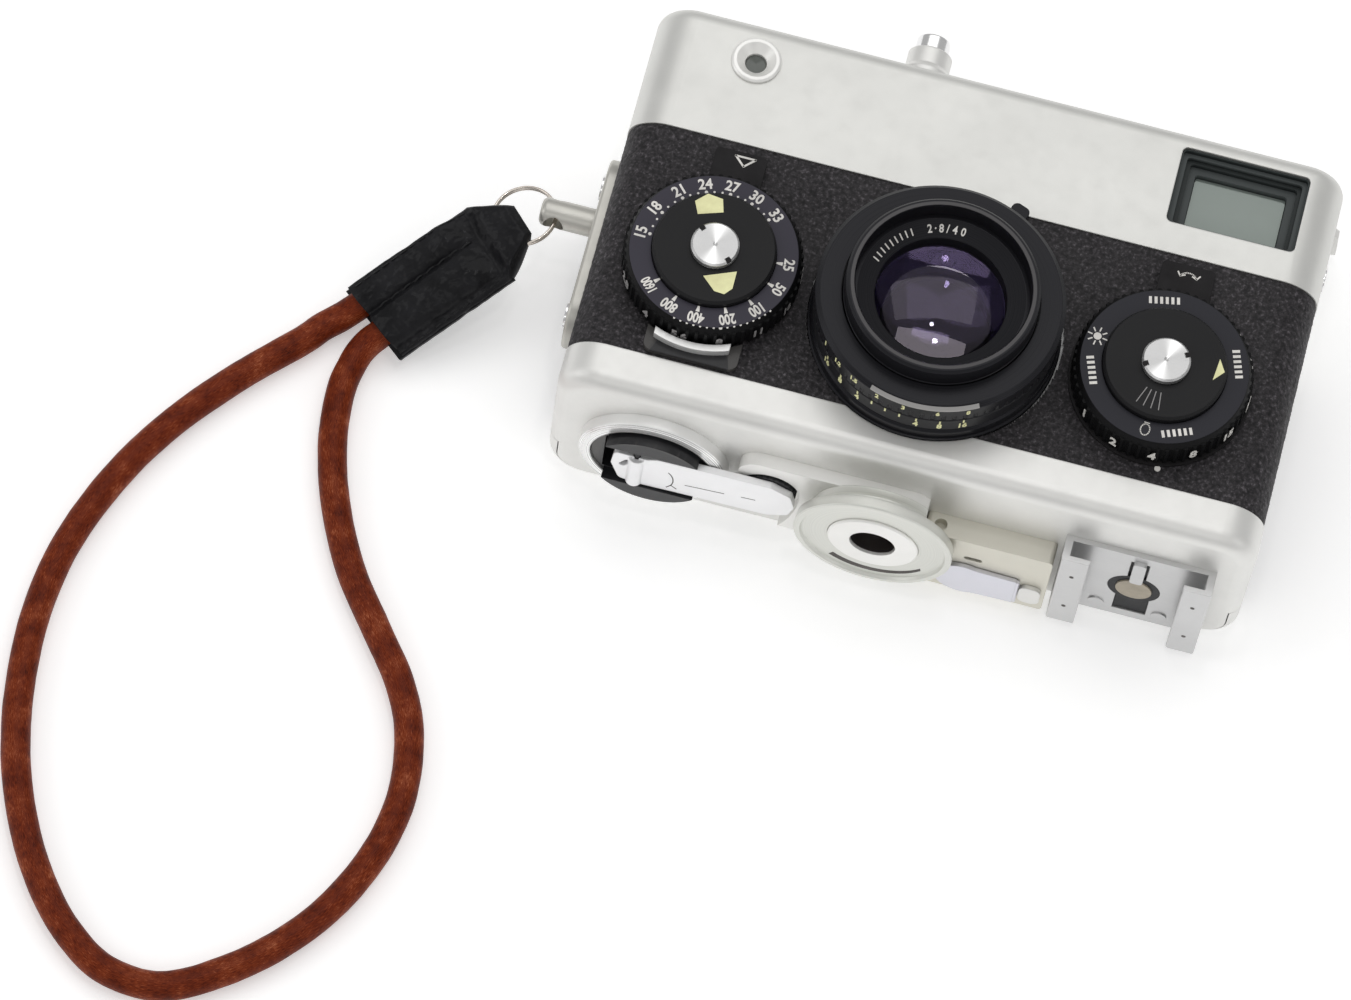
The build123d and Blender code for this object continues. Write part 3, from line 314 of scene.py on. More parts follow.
def leatherette_mat():
    m, nt, b = new_mat("black_leatherette")
    v = coords(nt)
    vor = nt.nodes.new("ShaderNodeTexVoronoi")
    vor.feature = "F1"
    vor.inputs["Scale"].default_value = 1.9
    warp = nt.nodes.new("ShaderNodeVectorMath")
    warp.operation = "ADD"
    nz = nt.nodes.new("ShaderNodeTexNoise")
    nz.inputs["Scale"].default_value = 0.9
    nt.links.new(v, nz.inputs["Vector"])
    nt.links.new(v, warp.inputs[0])
    nt.links.new(nz.outputs["Color"], warp.inputs[1])
    nt.links.new(warp.outputs[0], vor.inputs["Vector"])
    d = vor.outputs["Distance"]
    fine = noise_tex(nt, v, 5.0, 4.0, 0.65)
    broad = noise_tex(nt, v, 0.12, 3.0, 0.6)
    h = math_node(nt, "ADD", math_node(nt, "MULTIPLY", d, -0.8), math_node(nt, "MULTIPLY", fine, 0.5))
    # painted shade: the colour darkens from the grain tops into the grooves between them
    base = ramp(nt, d, [(0.0, (0.052, 0.047, 0.052)), (0.55, (0.034, 0.031, 0.034)), (0.9, (0.014, 0.013, 0.015))])
    spark = ramp(nt, noise_tex(nt, v, 1.7, 4.0, 0.72), [(0.40, 0.40), (0.55, 0.95), (0.68, 2.9)])
    mix = nt.nodes.new("ShaderNodeMix")
    mix.data_type = "RGBA"
    mix.blend_type = "MULTIPLY"
    mix.inputs[0].default_value = 1.0
    nt.links.new(base, mix.inputs[6])
    nt.links.new(spark, mix.inputs[7])
    nt.links.new(mix.outputs[2], b.inputs["Base Color"])
    nt.links.new(maprange(nt, broad, 0.3, 0.7, 0.5, 0.62), b.inputs["Roughness"])
    b.inputs["Specular IOR Level"].default_value = 0.25
    nt.links.new(bump(nt, h, 0.8, 0.09), b.inputs["Normal"])
    return m


def leather_mat():
    """Smooth black calf leather: soft sheen, fine creases across the folds, uneven roughness."""
    m, nt, b = new_mat("black_leather")
    v = coords(nt)
    pore = nt.nodes.new("ShaderNodeTexVoronoi")
    pore.inputs["Scale"].default_value = 4.5
    nt.links.new(v, pore.inputs["Vector"])
    crease = noise_tex(nt, coords(nt, (420, 1300, 900), (0, 0, 0.77)), 0.8, 5.0, 0.65)
    fine = noise_tex(nt, v, 5.0, 4.0, 0.6)
    broad = noise_tex(nt, v, 0.25, 3.0, 0.6)
    nt.links.new(ramp(nt, broad, [(0.3, (0.008, 0.008, 0.009)), (0.7, (0.018, 0.018, 0.020))]), b.inputs["Base Color"])
    rr = math_node(nt, "ADD", maprange(nt, fine, 0.3, 0.7, 0.34, 0.46), maprange(nt, broad, 0.3, 0.7, -0.04, 0.08))
    nt.links.new(rr, b.inputs["Roughness"])
    h = math_node(nt, "ADD", math_node(nt, "MULTIPLY", pore.outputs["Distance"], 0.25),
                  math_node(nt, "ADD", math_node(nt, "MULTIPLY", crease, 0.9), math_node(nt, "MULTIPLY", fine, 0.2)))
    nt.links.new(bump(nt, h, 0.35, 0.12), b.inputs["Normal"])
    b.inputs["Specular IOR Level"].default_value = 0.05
    b.inputs["Coat Weight"].default_value = 0.14
    b.inputs["Coat Roughness"].default_value = 0.16
    return m


def cord_mat():
    """Dyed reddish-brown round leather cord: streaks along its length, worn lighter on the ridges."""
    m, nt, b = new_mat("brown_leather")
    uv = nt.nodes.new("ShaderNodeUVMap")
    uv.uv_map = "UVMap"
    mp = nt.nodes.new("ShaderNodeMapping")
    mp.inputs["Scale"].default_value = (0.55, 5.0, 1.0)
    nt.links.new(uv.outputs[0], mp.inputs["Vector"])
    streak = noise_tex(nt, mp.outputs[0], 2.2, 6.0, 0.65)
    v = coords(nt)
    blot = noise_tex(nt, v, 0.28, 4.0, 0.6)
    fine = noise_tex(nt, v, 5.0, 4.0, 0.6)
    mixv = math_node(nt, "ADD", math_node(nt, "MULTIPLY", streak, 0.62), math_node(nt, "MULTIPLY", blot, 0.38))
    col = ramp(nt, mixv, [(0.36, (0.036, 0.005, 0.002)), (0.46, (0.115, 0.015, 0.004)), (0.56, (0.22, 0.036, 0.009)),
                          (0.67, (0.50, 0.17, 0.08))])
    nt.links.new(col, b.inputs["Base Color"])
    nt.links.new(maprange(nt, fine, 0.3, 0.7, 0.38, 0.54), b.inputs["Roughness"])
    h = math_node(nt, "ADD", math_node(nt, "MULTIPLY", streak, 0.8), math_node(nt, "MULTIPLY", fine, 0.35))
    nt.links.new(bump(nt, h, 0.35, 0.10), b.inputs["Normal"])
    b.inputs["Coat Weight"].default_value = 0.05
    b.inputs["Specular IOR Level"].default_value = 0.07
    b.inputs["Coat Roughness"].default_value = 0.3
    return m


def glass_mat(name, tint, rough, film=0.0, metallic=0.0, transmission=1.0, spec=0.5):
    m, nt, b = new_mat(name)
    v = coords(nt)
    smear = noise_tex(nt, v, 0.5, 5.0, 0.6)
    nt.links.new(maprange(nt, smear, 0.35, 0.75, rough, rough + 0.035), b.inputs["Roughness"])
    nt.links.new(ramp(nt, smear, [(0.2, tuple(c * 0.96 for c in tint)), (0.8, tint)]), b.inputs["Base Color"])
    b.inputs["Transmission Weight"].default_value = transmission
    b.inputs["IOR"].default_value = 1.52
    b.inputs["Metallic"].default_value = metallic
    if film:
        b.inputs["Thin Film Thickness"].default_value = film
        b.inputs["Thin Film IOR"].default_value = 1.38
    return m


MATS["black_leatherette"] = leatherette_mat()
MATS["black_leather"] = leather_mat()
MATS["brown_leather"] = cord_mat()
MATS["coated_glass"] = glass_mat("coated_glass", (0.50, 0.44, 0.70), 0.01, 0.0)
MATS["coated_glass"].node_tree.nodes["Principled BSDF"].inputs["Specular Tint"].default_value = (0.92, 0.84, 1.0, 1)
MATS["coated_glass"].node_tree.nodes["Principled BSDF"].inputs["IOR"].default_value = 1.48
MATS["clear_glass"] = glass_mat("clear_glass", (0.86, 0.90, 0.87), 0.02)
MATS["finder_glass"] = glass_mat("finder_glass", (0.22, 0.255, 0.235), 0.12, 0.0, 0.3, 0.0)
MATS["cell_glass"] = glass_mat("cell_glass", (0.10, 0.11, 0.10), 0.12, 0.0, 0.0, 0.0)

slot_of = {s["node"]: s["material_slot"] for s in frame["record"]["subparts"]}
M_RIM = paint("rim_black", (0.0055, 0.0055, 0.006), 0.5, 0.05, 0.12, 0.1, 7.0, 0.0, None, 0.10)
M_DIAL_L = zoned("dial_left", M_RIM, -31.1, 0.0, -1.0, 11.42, 33.9, 34.4, (0.040, 0.037, 0.052), 0.5)
M_DIAL_R = zoned("dial_right", M_RIM, 31.3, 0.0, -1.0, 11.42, 33.9, 34.4, (0.020, 0.020, 0.027), 0.5)
M_LOCK = zoned("lock_lever", MATS["black_enamel"], -31.1, 0.0, 0.0, 40.0, 29.95, 40.0, (0.84, 0.84, 0.83), 0.36, 0.6)
# painted highlight: a lighter metallic arc on the focusing ring's upper edge, from -111 to -59 degrees, in place of a
# reflection
M_FOCUS = zoned("focus_ring_painted_highlight", M_BARREL, 0.0, 0.0, 16.45, 18.0, 37.15, 37.8, (0.42, 0.41, 0.40), 0.34, 0.7, -111.0, -59.0)
M_TUBE = zoned("lens_tube_finish", MATS["bright_chrome"], 0.0, 0.0, -1.0, 30.0, 31.15, 45.0, (0.013, 0.013, 0.015), 0.4)
M_FRONT = zoned("front_barrel_rim", M_BARREL, 0.0, 0.0, 11.95, 12.5, 40.85, 41.6, (0.055, 0.053, 0.055), 0.30, 0.6)
def hood_mat():
    """Stepped light hood of the finder: dull grey-green bands between black edges."""
    m = paint("finder_hood", (0.03, 0.035, 0.034), 0.45, 0.05, 0.06, 0.1, 6.0, 0.0, None, 0.2)
    nt = m.node_tree
    b = next(n for n in nt.nodes if n.type == "BSDF_PRINCIPLED")
    sep = nt.nodes.new("ShaderNodeSeparateXYZ")
    nt.links.new(coords(nt), sep.inputs[0])
    u = maprange(nt, sep.outputs[2], 24.0, 29.2, 0.0, 1.0)
    lo, mid, hi = (0.010, 0.012, 0.012), (0.050, 0.060, 0.060), (0.115, 0.130, 0.130)
    nt.links.new(ramp(nt, u, [(0.0, mid), (0.10, mid), (0.14, lo), (0.40, hi), (0.43, lo), (0.55, mid), (0.58, lo),
                              (0.71, hi), (0.74, lo), (0.88, mid), (0.92, (0.004, 0.004, 0.004))]), b.inputs["Base Color"])
    return m


M_HOOD = hood_mat()
M_TAB = paint("tab_black", (0.016, 0.015, 0.016), 0.5, 0.05, 0.12, 0.3, 3.0, 0.0, None, 0.12)
# painted light and shade: base plate and top cover are one satin metal, the base copy set lighter and the top copy
# darker
M_BASE = metal("base_satin_painted_light", (0.90, 0.895, 0.87), 0.42, 0.05, 0.2, 0.45, 0.25)
M_TOP = metal("top_satin_painted_shade", (0.71, 0.71, 0.685), 0.46, 0.05, 0.25, 0.72, 0.35)
SPECIAL = {
    "aperture_dial": M_DIAL_L, "shutter_speed_dial": M_DIAL_R, "aperture_lock_lever": M_LOCK,
    "dial_index_tab": M_TAB, "rewind_release_lever": M_TAB, "viewfinder_frame": M_HOOD, "light_cell_ring": M_BUSH, "base_plate": M_BASE, "strap_plate": metal("lug_nickel", (0.56, 0.55, 0.51), 0.38, 0.06, 0.2, 0.75, 0.25), "top_cover": M_TOP,
    "front_barrel": M_FRONT, "lens_tube": M_TUBE, "focusing_ring": M_FOCUS, "lens_flange": M_BARREL,
    "aperture_dial_cap": M_CAP_L, "shutter_dial_cap": M_CAP_R, "film_speed_disc": M_DISC_L,
    "film_type_disc": M_DISC_R, "hot_shoe": M_BRUSHED, "rewind_ring": M_REWIND, "tripod_boss": M_TRIPOD,
    "tripod_bush": M_BUSH, "rewind_crank": M_ARM, "latch_key": M_KEY, "viewfinder_glass": MATS["finder_glass"],
    "light_cell": MATS["cell_glass"],
}
for name, o in nodes.items():
    o.data.materials.clear()
    o.data.materials.append(SPECIAL.get(name) or MATS[slot_of[name]])


# ---------------------------------------------------------------- mesh helpers
def obj_from(name, verts, faces, mat, body, smooth=True, uvs=None):
    me = bpy.data.meshes.new(name)
    me.from_pydata([tuple(x * MM for x in v) for v in verts], [], faces)
    me.update()
    if smooth:
        me.polygons.foreach_set("use_smooth", [True] * len(me.polygons))
    if uvs is not None:
        layer = me.uv_layers.new(name="UVMap")
        for li, loop in enumerate(me.loops):
            layer.data[li].uv = uvs[loop.vertex_index]
    me.materials.append(mat)
    o = bpy.data.objects.new(name, me)
    scene.collection.objects.link(o)
    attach(o, body)
    return o


class Bag:
    """Collects small solids into one mesh."""
    def __init__(self):
        self.v, self.f = [], []

    def add(self, verts, faces):
        n = len(self.v)
        self.v += [tuple(p) for p in verts]
        self.f += [tuple(i + n for i in f) for f in faces]

    def prism(self, poly, place, h=0.05):
        """Flat polygon (list of 2-D points, counter-clockwise) raised by h; place maps (x, y, z) to the row frame."""
        n = len(poly)
        vs = [place(x, y, -0.03) for x, y in poly] + [place(x, y, h) for x, y in poly]
        fs = [tuple(range(n, 2 * n)), tuple(range(n - 1, -1, -1))]
        fs += [(i, (i + 1) % n, n + (i + 1) % n, n + i) for i in range(n)]
        self.add(vs, fs)

    def disc(self, x, y, r, place, h=0.05, seg=14):
        self.prism([(x + r * math.cos(2 * math.pi * i / seg), y + r * math.sin(2 * math.pi * i / seg)) for i in range(seg)],
                   place, h)

    def stroke(self, pts, w, place, h=0.05):
        """Line of width w through 2-D points."""
        for (x0, y0), (x1, y1) in zip(pts[:-1], pts[1:]):
            dx, dy = x1 - x0, y1 - y0
            l = math.hypot(dx, dy) or 1
            nx, ny = -dy / l * w / 2, dx / l * w / 2
            ex, ey = dx / l * w * 0.25, dy / l * w * 0.25
            self.prism([(x0 - nx - ex, y0 - ny - ey), (x1 - nx + ex, y1 - ny + ey), (x1 + nx + ex, y1 + ny + ey),
                        (x0 + nx - ex, y0 + ny - ey)], place, h)

    def make(self, name, mat, body, smooth=False):
        return obj_from(name, self.v, self.f, mat, body, smooth)


def flat_z(z, cx=0.0, cy=0.0):
    return lambda x, y, h: (cx + x, cy + y, z + h)


def radial(cx, cy, z, r, deg):
    """2-D axes on a dial: y points away from the centre at this angle, x to the right of it."""
    a = math.radians(deg)
    up, rt = (math.cos(a), math.sin(a)), (math.sin(a), -math.cos(a))
    return lambda x, y, h: (cx + up[0] * (r + y) + rt[0] * x, cy + up[1] * (r + y) + rt[1] * x, z + h)


def base_y(y, flip=1):
    """2-D axes on the base: x is +X, y is +Z, raised towards -Y."""
    return lambda x, z, h: (x, y - h, z)


_glyphs = {}


def glyph(text, height, narrow=1.0, bold=0.0):
    """Outline mesh of a short number, centred on the origin, in millimetres."""
    key = (text, height, narrow, bold)
    if key not in _glyphs:
        cu = bpy.data.curves.new("t", "FONT")
        cu.body = text
        cu.align_x, cu.align_y = "CENTER", "CENTER"
        cu.size = 1.0
        cu.offset = bold
        cu.resolution_u = 3
        cu.extrude = 0.02
        ob = bpy.data.objects.new("t", cu)
        scene.collection.objects.link(ob)
        dg = bpy.context.evaluated_depsgraph_get()
        me = bpy.data.meshes.new_from_object(ob.evaluated_get(dg))
        vs = np.array([v.co for v in me.vertices])
        fs = [tuple(p.vertices) for p in me.polygons]
        bpy.data.objects.remove(ob)
        bpy.data.curves.remove(cu)
        bpy.data.meshes.remove(me)
        lo, hi = vs.min(0), vs.max(0)
        s = height / (hi[1] - lo[1])
        vs = (vs - (lo + hi) / 2) * [s * narrow, s, 1]
        vs[:, 2] = np.where(vs[:, 2] > 0, 0.05, -0.03)
        _glyphs[key] = (vs, fs)
    return _glyphs[key]


def put(bag, g, place):
    vs, fs = g
    bag.add([place(*v) for v in vs], fs)


def lathe(name, pts, mat, body, centre=(0, 0, 0), axis="Z", seg=96, closed=False):
    """Turned visual piece; pts are (radius, position along the axis)."""
    vs, fs = [], []
    n = len(pts)
    for i in range(seg):
        a = 2 * math.pi * i / seg
        c, s = math.cos(a), math.sin(a)
        for r, z in pts:
            p = (r * c, r * s, z) if axis == "Z" else (r * c, z, r * s)
            vs.append((p[0] + centre[0], p[1] + centre[1], p[2] + centre[2]))
    rows = n if closed else n - 1
    for i in range(seg):
        j = (i + 1) % seg
        for k in range(rows):
            k2 = (k + 1) % n
            f = (i * n + k, j * n + k, j * n + k2, i * n + k2)
            fs.append(f if axis == "Z" else f[::-1])
    return obj_from(name, vs, fs, mat, body)


def tube(path, radius, seg=12, closed=False, uv_len=None, shape=None, cap=True):
    """Round tube along a list of points; returns verts, faces, uvs (metres along, share around)."""
    P = [Vector(p) for p in path]
    n = len(P)
    T = []
    for i in range(n):
        a, b = P[i - 1] if (i or closed) else P[i], P[(i + 1) % n] if (i < n - 1 or closed) else P[i]
        T.append((b - a).normalized())
    up = Vector((0, 0, 1))
    if abs(T[0].dot(up)) > 0.9:
        up = Vector((0, 1, 0))
    N = (up - T[0] * up.dot(T[0])).normalized()
    vs, uv, dist = [], [], 0.0
    for i in range(n):
        if i:
            N = (N - T[i] * N.dot(T[i])).normalized()
            dist += (P[i] - P[i - 1]).length
        B = T[i].cross(N)
        for k in range(seg):
            a = 2 * math.pi * k / seg
            r = radius if shape is None else shape(dist, a)
            vs.append(P[i] + (N * math.cos(a) + B * math.sin(a)) * r)
            uv.append((dist, k / seg * 2 * math.pi * radius if k < seg else 0))
    fs = []
    rings = n if closed else n - 1
    for i in range(rings):
        j = (i + 1) % n
        for k in range(seg):
            k2 = (k + 1) % seg
            fs.append((i * seg + k, i * seg + k2, j * seg + k2, j * seg + k))
    if not closed and cap:
        fs.append(tuple(range(seg - 1, -1, -1)))
        fs.append(tuple((n - 1) * seg + k for k in range(seg)))
    return [tuple(v) for v in vs], fs, uv


def spline(points, per=8):
    """Catmull-Rom through the points."""
    P = [Vector(p) for p in points]
    P = [P[0] * 2 - P[1]] + P + [P[-1] * 2 - P[-2]]
    out = []
    for i in range(1, len(P) - 2):
        p0, p1, p2, p3 = P[i - 1:i + 3]
        for k in range(per):
            t = k / per
            out.append(0.5 * ((2 * p1) + (p2 - p0) * t + (2 * p0 - 5 * p1 + 4 * p2 - p3) * t * t
                              + (3 * p1 - p0 - 3 * p2 + p3) * t ** 3))
    out.append(P[-2])
    return out


# ---------------------------------------------------------------- leatherette
W, D, CX, Y1, Y0 = 97.0, 29.0, 1.24, 19.57, -14.91
X0, X1, R_END = CX - W / 2, CX + W / 2, 5.5


def outline_path(z_from, front, inset, step):
    """Points along the body outline (x, z, nx, nz) from the left side round the front or back to the right side."""
    r = R_END - inset
    xl, xr = X0 + inset, X1 - inset
    zf = D - inset if front else inset
    sz = 1 if front else -1
    segs = []
    zc = zf - sz * r
    pts = []

    def line(x0, z0, x1, z1, nx, nz):
        l = math.hypot(x1 - x0, z1 - z0)
        k = max(2, int(l / step))
        for i in range(k):
            t = i / k
            pts.append((x0 + (x1 - x0) * t, z0 + (z1 - z0) * t, nx, nz))

    def arc(cx, cz, a0, a1):
        k = max(3, int(abs(a1 - a0) * r / step))
        for i in range(k):
            a = a0 + (a1 - a0) * i / k
            pts.append((cx + r * math.cos(a), cz + r * math.sin(a), math.cos(a), math.sin(a)))

    line(xl, z_from, xl, zc, -1, 0)
    arc(xl + r, zc, math.pi, math.pi - sz * math.pi / 2)
    line(xl + r, zf, xr - r, zf, 0, sz)
    arc(xr - r, zc, sz * math.pi / 2, 0)
    line(xr, zc, xr, z_from, 1, 0)
    pts.append((xr, z_from, 1, 0))
    return pts


def pebble(x, y, z):
    """Height of the leatherette grain in millimetres at a surface point, 0 at the tops."""
    p = Vector((x * 1.35, y * 1.35, z * 1.35))
    d = noise.voronoi(p + noise.noise_vector(p * 0.8) * 0.45)[0]
    a = min(1.0, max(0.0, (d[1] - d[0]) * 2.2))
    return -0.085 * (1 - a) ** 1.5 - 0.03 * abs(noise.noise(p * 2.6))


def leatherette(name, node, front, z_from, body, hole=0.0):
    step = 0.24
    pts = outline_path(z_from, front, 0.10 if front else 0.02, step)
    rows = int((Y1 - Y0) / step)
    vs, fs = [], []
    n = len(pts)
    for j in range(rows + 1):
        y = Y0 + (Y1 - Y0) * j / rows
        edge = min(j, rows - j) * step
        sink = 0.10 * max(0.0, 1 - edge / 0.5) ** 2
        for i, (x, z, nx, nz) in enumerate(pts):
            h = pebble(x, y, z) - sink + 0.02
            vs.append((x + nx * h, y, z + nz * h))
    flip = front
    for j in range(rows):
        for i in range(n - 1):
            a = j * n + i
            q = (a, a + 1, a + n + 1, a + n)
            if hole:
                x, y, z = vs[a]
                if z > 27 and x * x + y * y < hole * hole:
                    continue
            fs.append(q if front else q[::-1])
    o = obj_from(name, vs, fs, MATS["black_leatherette"], body)
    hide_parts(node)
    return o


leatherette("front_leatherette_grain", "front_leatherette", True, 8.57, "camera_body", 17.45)
leatherette("back_leatherette_grain", "back_leatherette", False, 8.45, "back")

# ---------------------------------------------------------------- dial markings
DL, DR = (-31.1, 0.0), (31.3, 0.0)
Z_RING, Z_DISC = 34.0, 35.2

bag = Bag()
for text, deg in (("15", 178.9), ("18", 155.3), ("21", 132.2), ("24", 110.4), ("27", 89.4), ("30", 68.9), ("33", 48.0)):
    put(bag, glyph(text, 1.6, 0.92, 0.025), radial(*DL, Z_RING, 10.2, deg))
for text, deg in (("25", 4.2), ("50", -18.2)):
    put(bag, glyph(text, 1.5, 0.92, 0.025), radial(*DL, Z_RING, 10.25, deg))
for text, deg in (("100", -42.8), ("200", -66.3), ("400", -90.0), ("800", -112.3)):
    put(bag, glyph(text, 1.6, 0.72, 0.03), radial(*DL, Z_RING, 10.3, deg))
put(bag, glyph("1600", 1.5, 0.62, 0.03), radial(*DL, Z_RING, 10.3, -135.1))
angs = [178.9, 155.3, 132.2, 110.4, 89.4, 68.9, 48.0]
for k in range(len(angs)):
    bag.disc(0, 0, 0.24, radial(*DL, Z_RING, 8.95, angs[k]))
    if k < len(angs) - 1:
        for t in (1 / 3, 2 / 3):
            bag.disc(0, 0, 0.16, radial(*DL, Z_RING, 8.95, angs[k] + (angs[k + 1] - angs[k]) * t))
for deg in (4.2, -18.2, -42.8, -66.3, -90.0, -112.3, -135.1):
    bag.prism([(-0.13, -0.45), (0.13, -0.45), (0.27, 0.40), (-0.27, 0.40)], radial(*DL, Z_RING, 8.98, deg))
for k in range(16):
    deg = -104 + k * 4.6
    bag.disc(0, 0, 0.15 if k != 7 else 0.25, radial(*DL, 33.95, 11.45, deg))
bag.make("left_dial_numerals", M_WHITE, "aperture_dial")

bag = Bag()
bag.prism([(-1.75, -1.1), (1.75, -1.1), (1.9, 0.9), (0.0, 1.85), (-1.9, 0.9)], radial(*DL, Z_DISC, 6.25, 110.0))
bag.prism([(-2.3, -1.5), (2.3, -1.5), (1.25, 0.95), (0.0, 1.6), (-1.25, 0.95)], radial(*DL, Z_DISC, 5.5, -66.0))
bag.make("left_dial_pointers", M_YELLOW, "film_speed_disc")

bag = Bag()
for deg in (168.7,):
    pl = radial(*DR, Z_RING, 9.9, deg)
    bag.disc(0, 0, 0.55, pl)
    for k in range(8):
        a = k * math.pi / 4
        bag.stroke([(0.78 * math.cos(a), 0.78 * math.sin(a)), (1.36 * math.cos(a), 1.36 * math.sin(a))], 0.19, pl)
pl = radial(*DR, Z_RING, 9.9, -93.0)
el = [(0.62 * math.cos(t * math.pi / 8), 0.85 * math.sin(t * math.pi / 8)) for t in range(17)]
bag.stroke(el, 0.16, pl)
bag.stroke([(-0.35, -1.05), (0.35, -1.05)], 0.14, pl)
for deg in (102.6, 17.9, -68.0, -161.0):
    pl = radial(*DR, Z_RING, 9.9, deg)
    for dx in (-1.9, -1.14, -0.38, 0.38, 1.14, 1.9):
        bag.stroke([(dx, -0.42), (dx, 0.42)], 0.4, pl)
bag.make("right_dial_marks", M_WHITE, "shutter_speed_dial")

bag = Bag()
place = flat_z(Z_DISC, *DR)
tri = [(r * math.cos(math.radians(a)), r * math.sin(math.radians(a))) for r, a in ((6.7, -7), (8.0, 5.5), (7.4, 20))]
bag.prism(tri, place)
bag.make("right_dial_pointer", M_YELLOW, "film_type_disc")
bag = Bag()
for deg in (-111, -102.5, -94, -85.5):
    bag.stroke([(0, -1.3), (0, 1.3)], 0.13, radial(*DR, Z_DISC, 5.9, deg))
bag.make("right_dial_hatch", M_GREYINK, "film_type_disc")


def rim_place(cx, cy, r, deg, zc):
    """2-D axes on the side of a knurled rim: y is +Z, x runs round the rim, raised outwards."""
    a0 = math.radians(deg)

    def f(x, y, h):
        a = a0 + x / r
        return (cx + (r + h) * math.cos(a), cy + (r + h) * math.sin(a), zc + y)
    return f


bag = Bag()
for text, deg in (("1", -136.7), ("2", -110.3), ("4", -84.2), ("8", -57.4), ("15", -30.1), ("30", -4.0), ("60", 22.0),
                  ("125", 49.0), ("250", 77.0), ("500", 105.0)):
    put(bag, glyph(text, 1.9, 0.85, 0.03), rim_place(*DR, 12.22, deg, 31.3))
bag.make("shutter_speed_numerals", M_WHITE, "shutter_speed_dial")
bag = Bag()
for text, deg in (("2.8", -150), ("4", -124.0), ("5.6", -98.0), ("8", -72.0), ("11", -46.0), ("16", -20.0), ("22", 6.0)):
    put(bag, glyph(text, 1.7, 0.85, 0.03), rim_place(*DL, 12.22, deg, 31.3))
bag.make("aperture_numerals", M_GREYINK, "aperture_dial")

bag = Bag()
bag.disc(*[12.8 * f for f in (math.cos(math.radians(-79)), math.sin(math.radians(-79)))], 0.42, flat_z(28.9, *DR), 0.12)
bag.make("speed_index_dot", M_WHITE, "camera_body")
bag = Bag()
bag.stroke([(-31.9, 17.0), (-29.1, 17.0), (-30.5, 15.6), (-31.9, 17.0)], 0.28, flat_z(30.1))
bag.make("aperture_index_mark", M_WHITE, "camera_body")
bag = Bag()
arc = [(31.6 + 1.15 * math.sin(a), 15.75 + 0.9 * math.cos(a)) for a in [(-1.25 + 2.5 * k / 12) for k in range(13)]]
bag.stroke(arc, 0.2, flat_z(30.1))
bag.stroke([(30.05, 16.55), (30.45, 15.95), (31.1, 16.25)], 0.2, flat_z(30.1))
bag.stroke([(33.15, 16.55), (32.75, 15.95), (32.1, 16.25)], 0.2, flat_z(30.1))
bag.make("rewind_arrow_mark", M_WHITE, "rewind_release_lever")

# painted shade: two flat dark discs on each cap stand in for the shade in its slots
for cx, deg, body, nm in ((-31.1, 140, "aperture_dial", "left_cap_slot_shade"), (31.3, 28, "shutter_speed_dial", "right_cap_slot_shade")):
    bag = Bag()
    for extra in (0, 180):
        a = math.radians(deg + extra)
        bag.disc(cx + 3.0 * math.cos(a), 3.0 * math.sin(a), 0.38, flat_z(36.3), 0.02)
    bag.make(nm, M_HOLE_SHADE, body)

# ---------------------------------------------------------------- lens details
pts = []
z = 38.45
while z < 41.1:
    pts += [(12.0, z), (11.86, z + 0.125)]
    z += 0.25
pts.append((12.0, z))
lathe("filter_thread_ridges", pts[::-1], M_BARREL, "front_barrel", seg=128)


def cone_place(deg, r0, z0, slope):
    """2-D axes on the front cone of the lens: y outwards and up the cone, x along the circle."""
    a0 = math.radians(deg)

    def f(x, y, h):
        r = r0 + y * math.cos(slope)
        a = a0 - x / r0
        return (r * math.cos(a), r * math.sin(a), z0 + y * math.sin(slope) + h)
    return f


bag = Bag()
slope = math.atan2(1.1, 2.45)
for ch, deg in zip("2.8/40", (112, 107.5, 103, 98, 92.5, 86)):
    put(bag, glyph(ch, 1.15 if ch != "." else 0.25, 0.85, 0.02), cone_place(deg, 10.15, 37.87, slope))
for k in range(9):
    bag.stroke([(0, -0.45), (0, 0.45)], 0.18, cone_place(163 - k * 4.6, 10.15, 37.87, slope))
bag.make("lens_front_numerals", M_WHITE, "front_barrel")

# stepped black baffles between the front glass and the diaphragm
lathe("lens_baffles", [(8.93, 33.0), (8.4, 33.0), (8.4, 32.2), (7.9, 32.2), (7.9, 31.4), (7.3, 31.4), (7.3, 30.6),
                       (6.7, 30.6), (6.7, 29.8), (6.2, 29.8), (6.0, 27.2), (8.9, 27.2)],
      paint("baffle_black", (0.02, 0.018, 0.03), 0.35, 0.05, 0.0, 0.05), "front_barrel", seg=96)

bag = Bag()
for text, deg in (("1", -142), ("1.2", -131), ("1.5", -120), ("2", -107), ("3", -94), ("6", -78), ("8", -64)):
    put(bag, glyph(text, 1.0, 0.85, 0.03), rim_place(0, 0, 16.91, deg, 36.45))
bag.make("distance_numerals", M_YELLOW, "focusing_ring")
bag = Bag()
for text, deg in (("16", -139), ("8", -128), ("4", -117), ("4", -87), ("8", -76), ("16", -65)):
    put(bag, glyph(text, 1.25, 0.85, 0.03), rim_place(0, 0, 16.76, deg, 32.45))
for deg in (-139, -128, -117, -109, -102, -95, -87, -76, -65):
    bag.stroke([(0, -0.3), (0, 0.3)], 0.24, rim_place(0, 0, 16.76, deg, 33.55))
bag.make("depth_scale_ticks", M_YELLOW, "lens_tube")

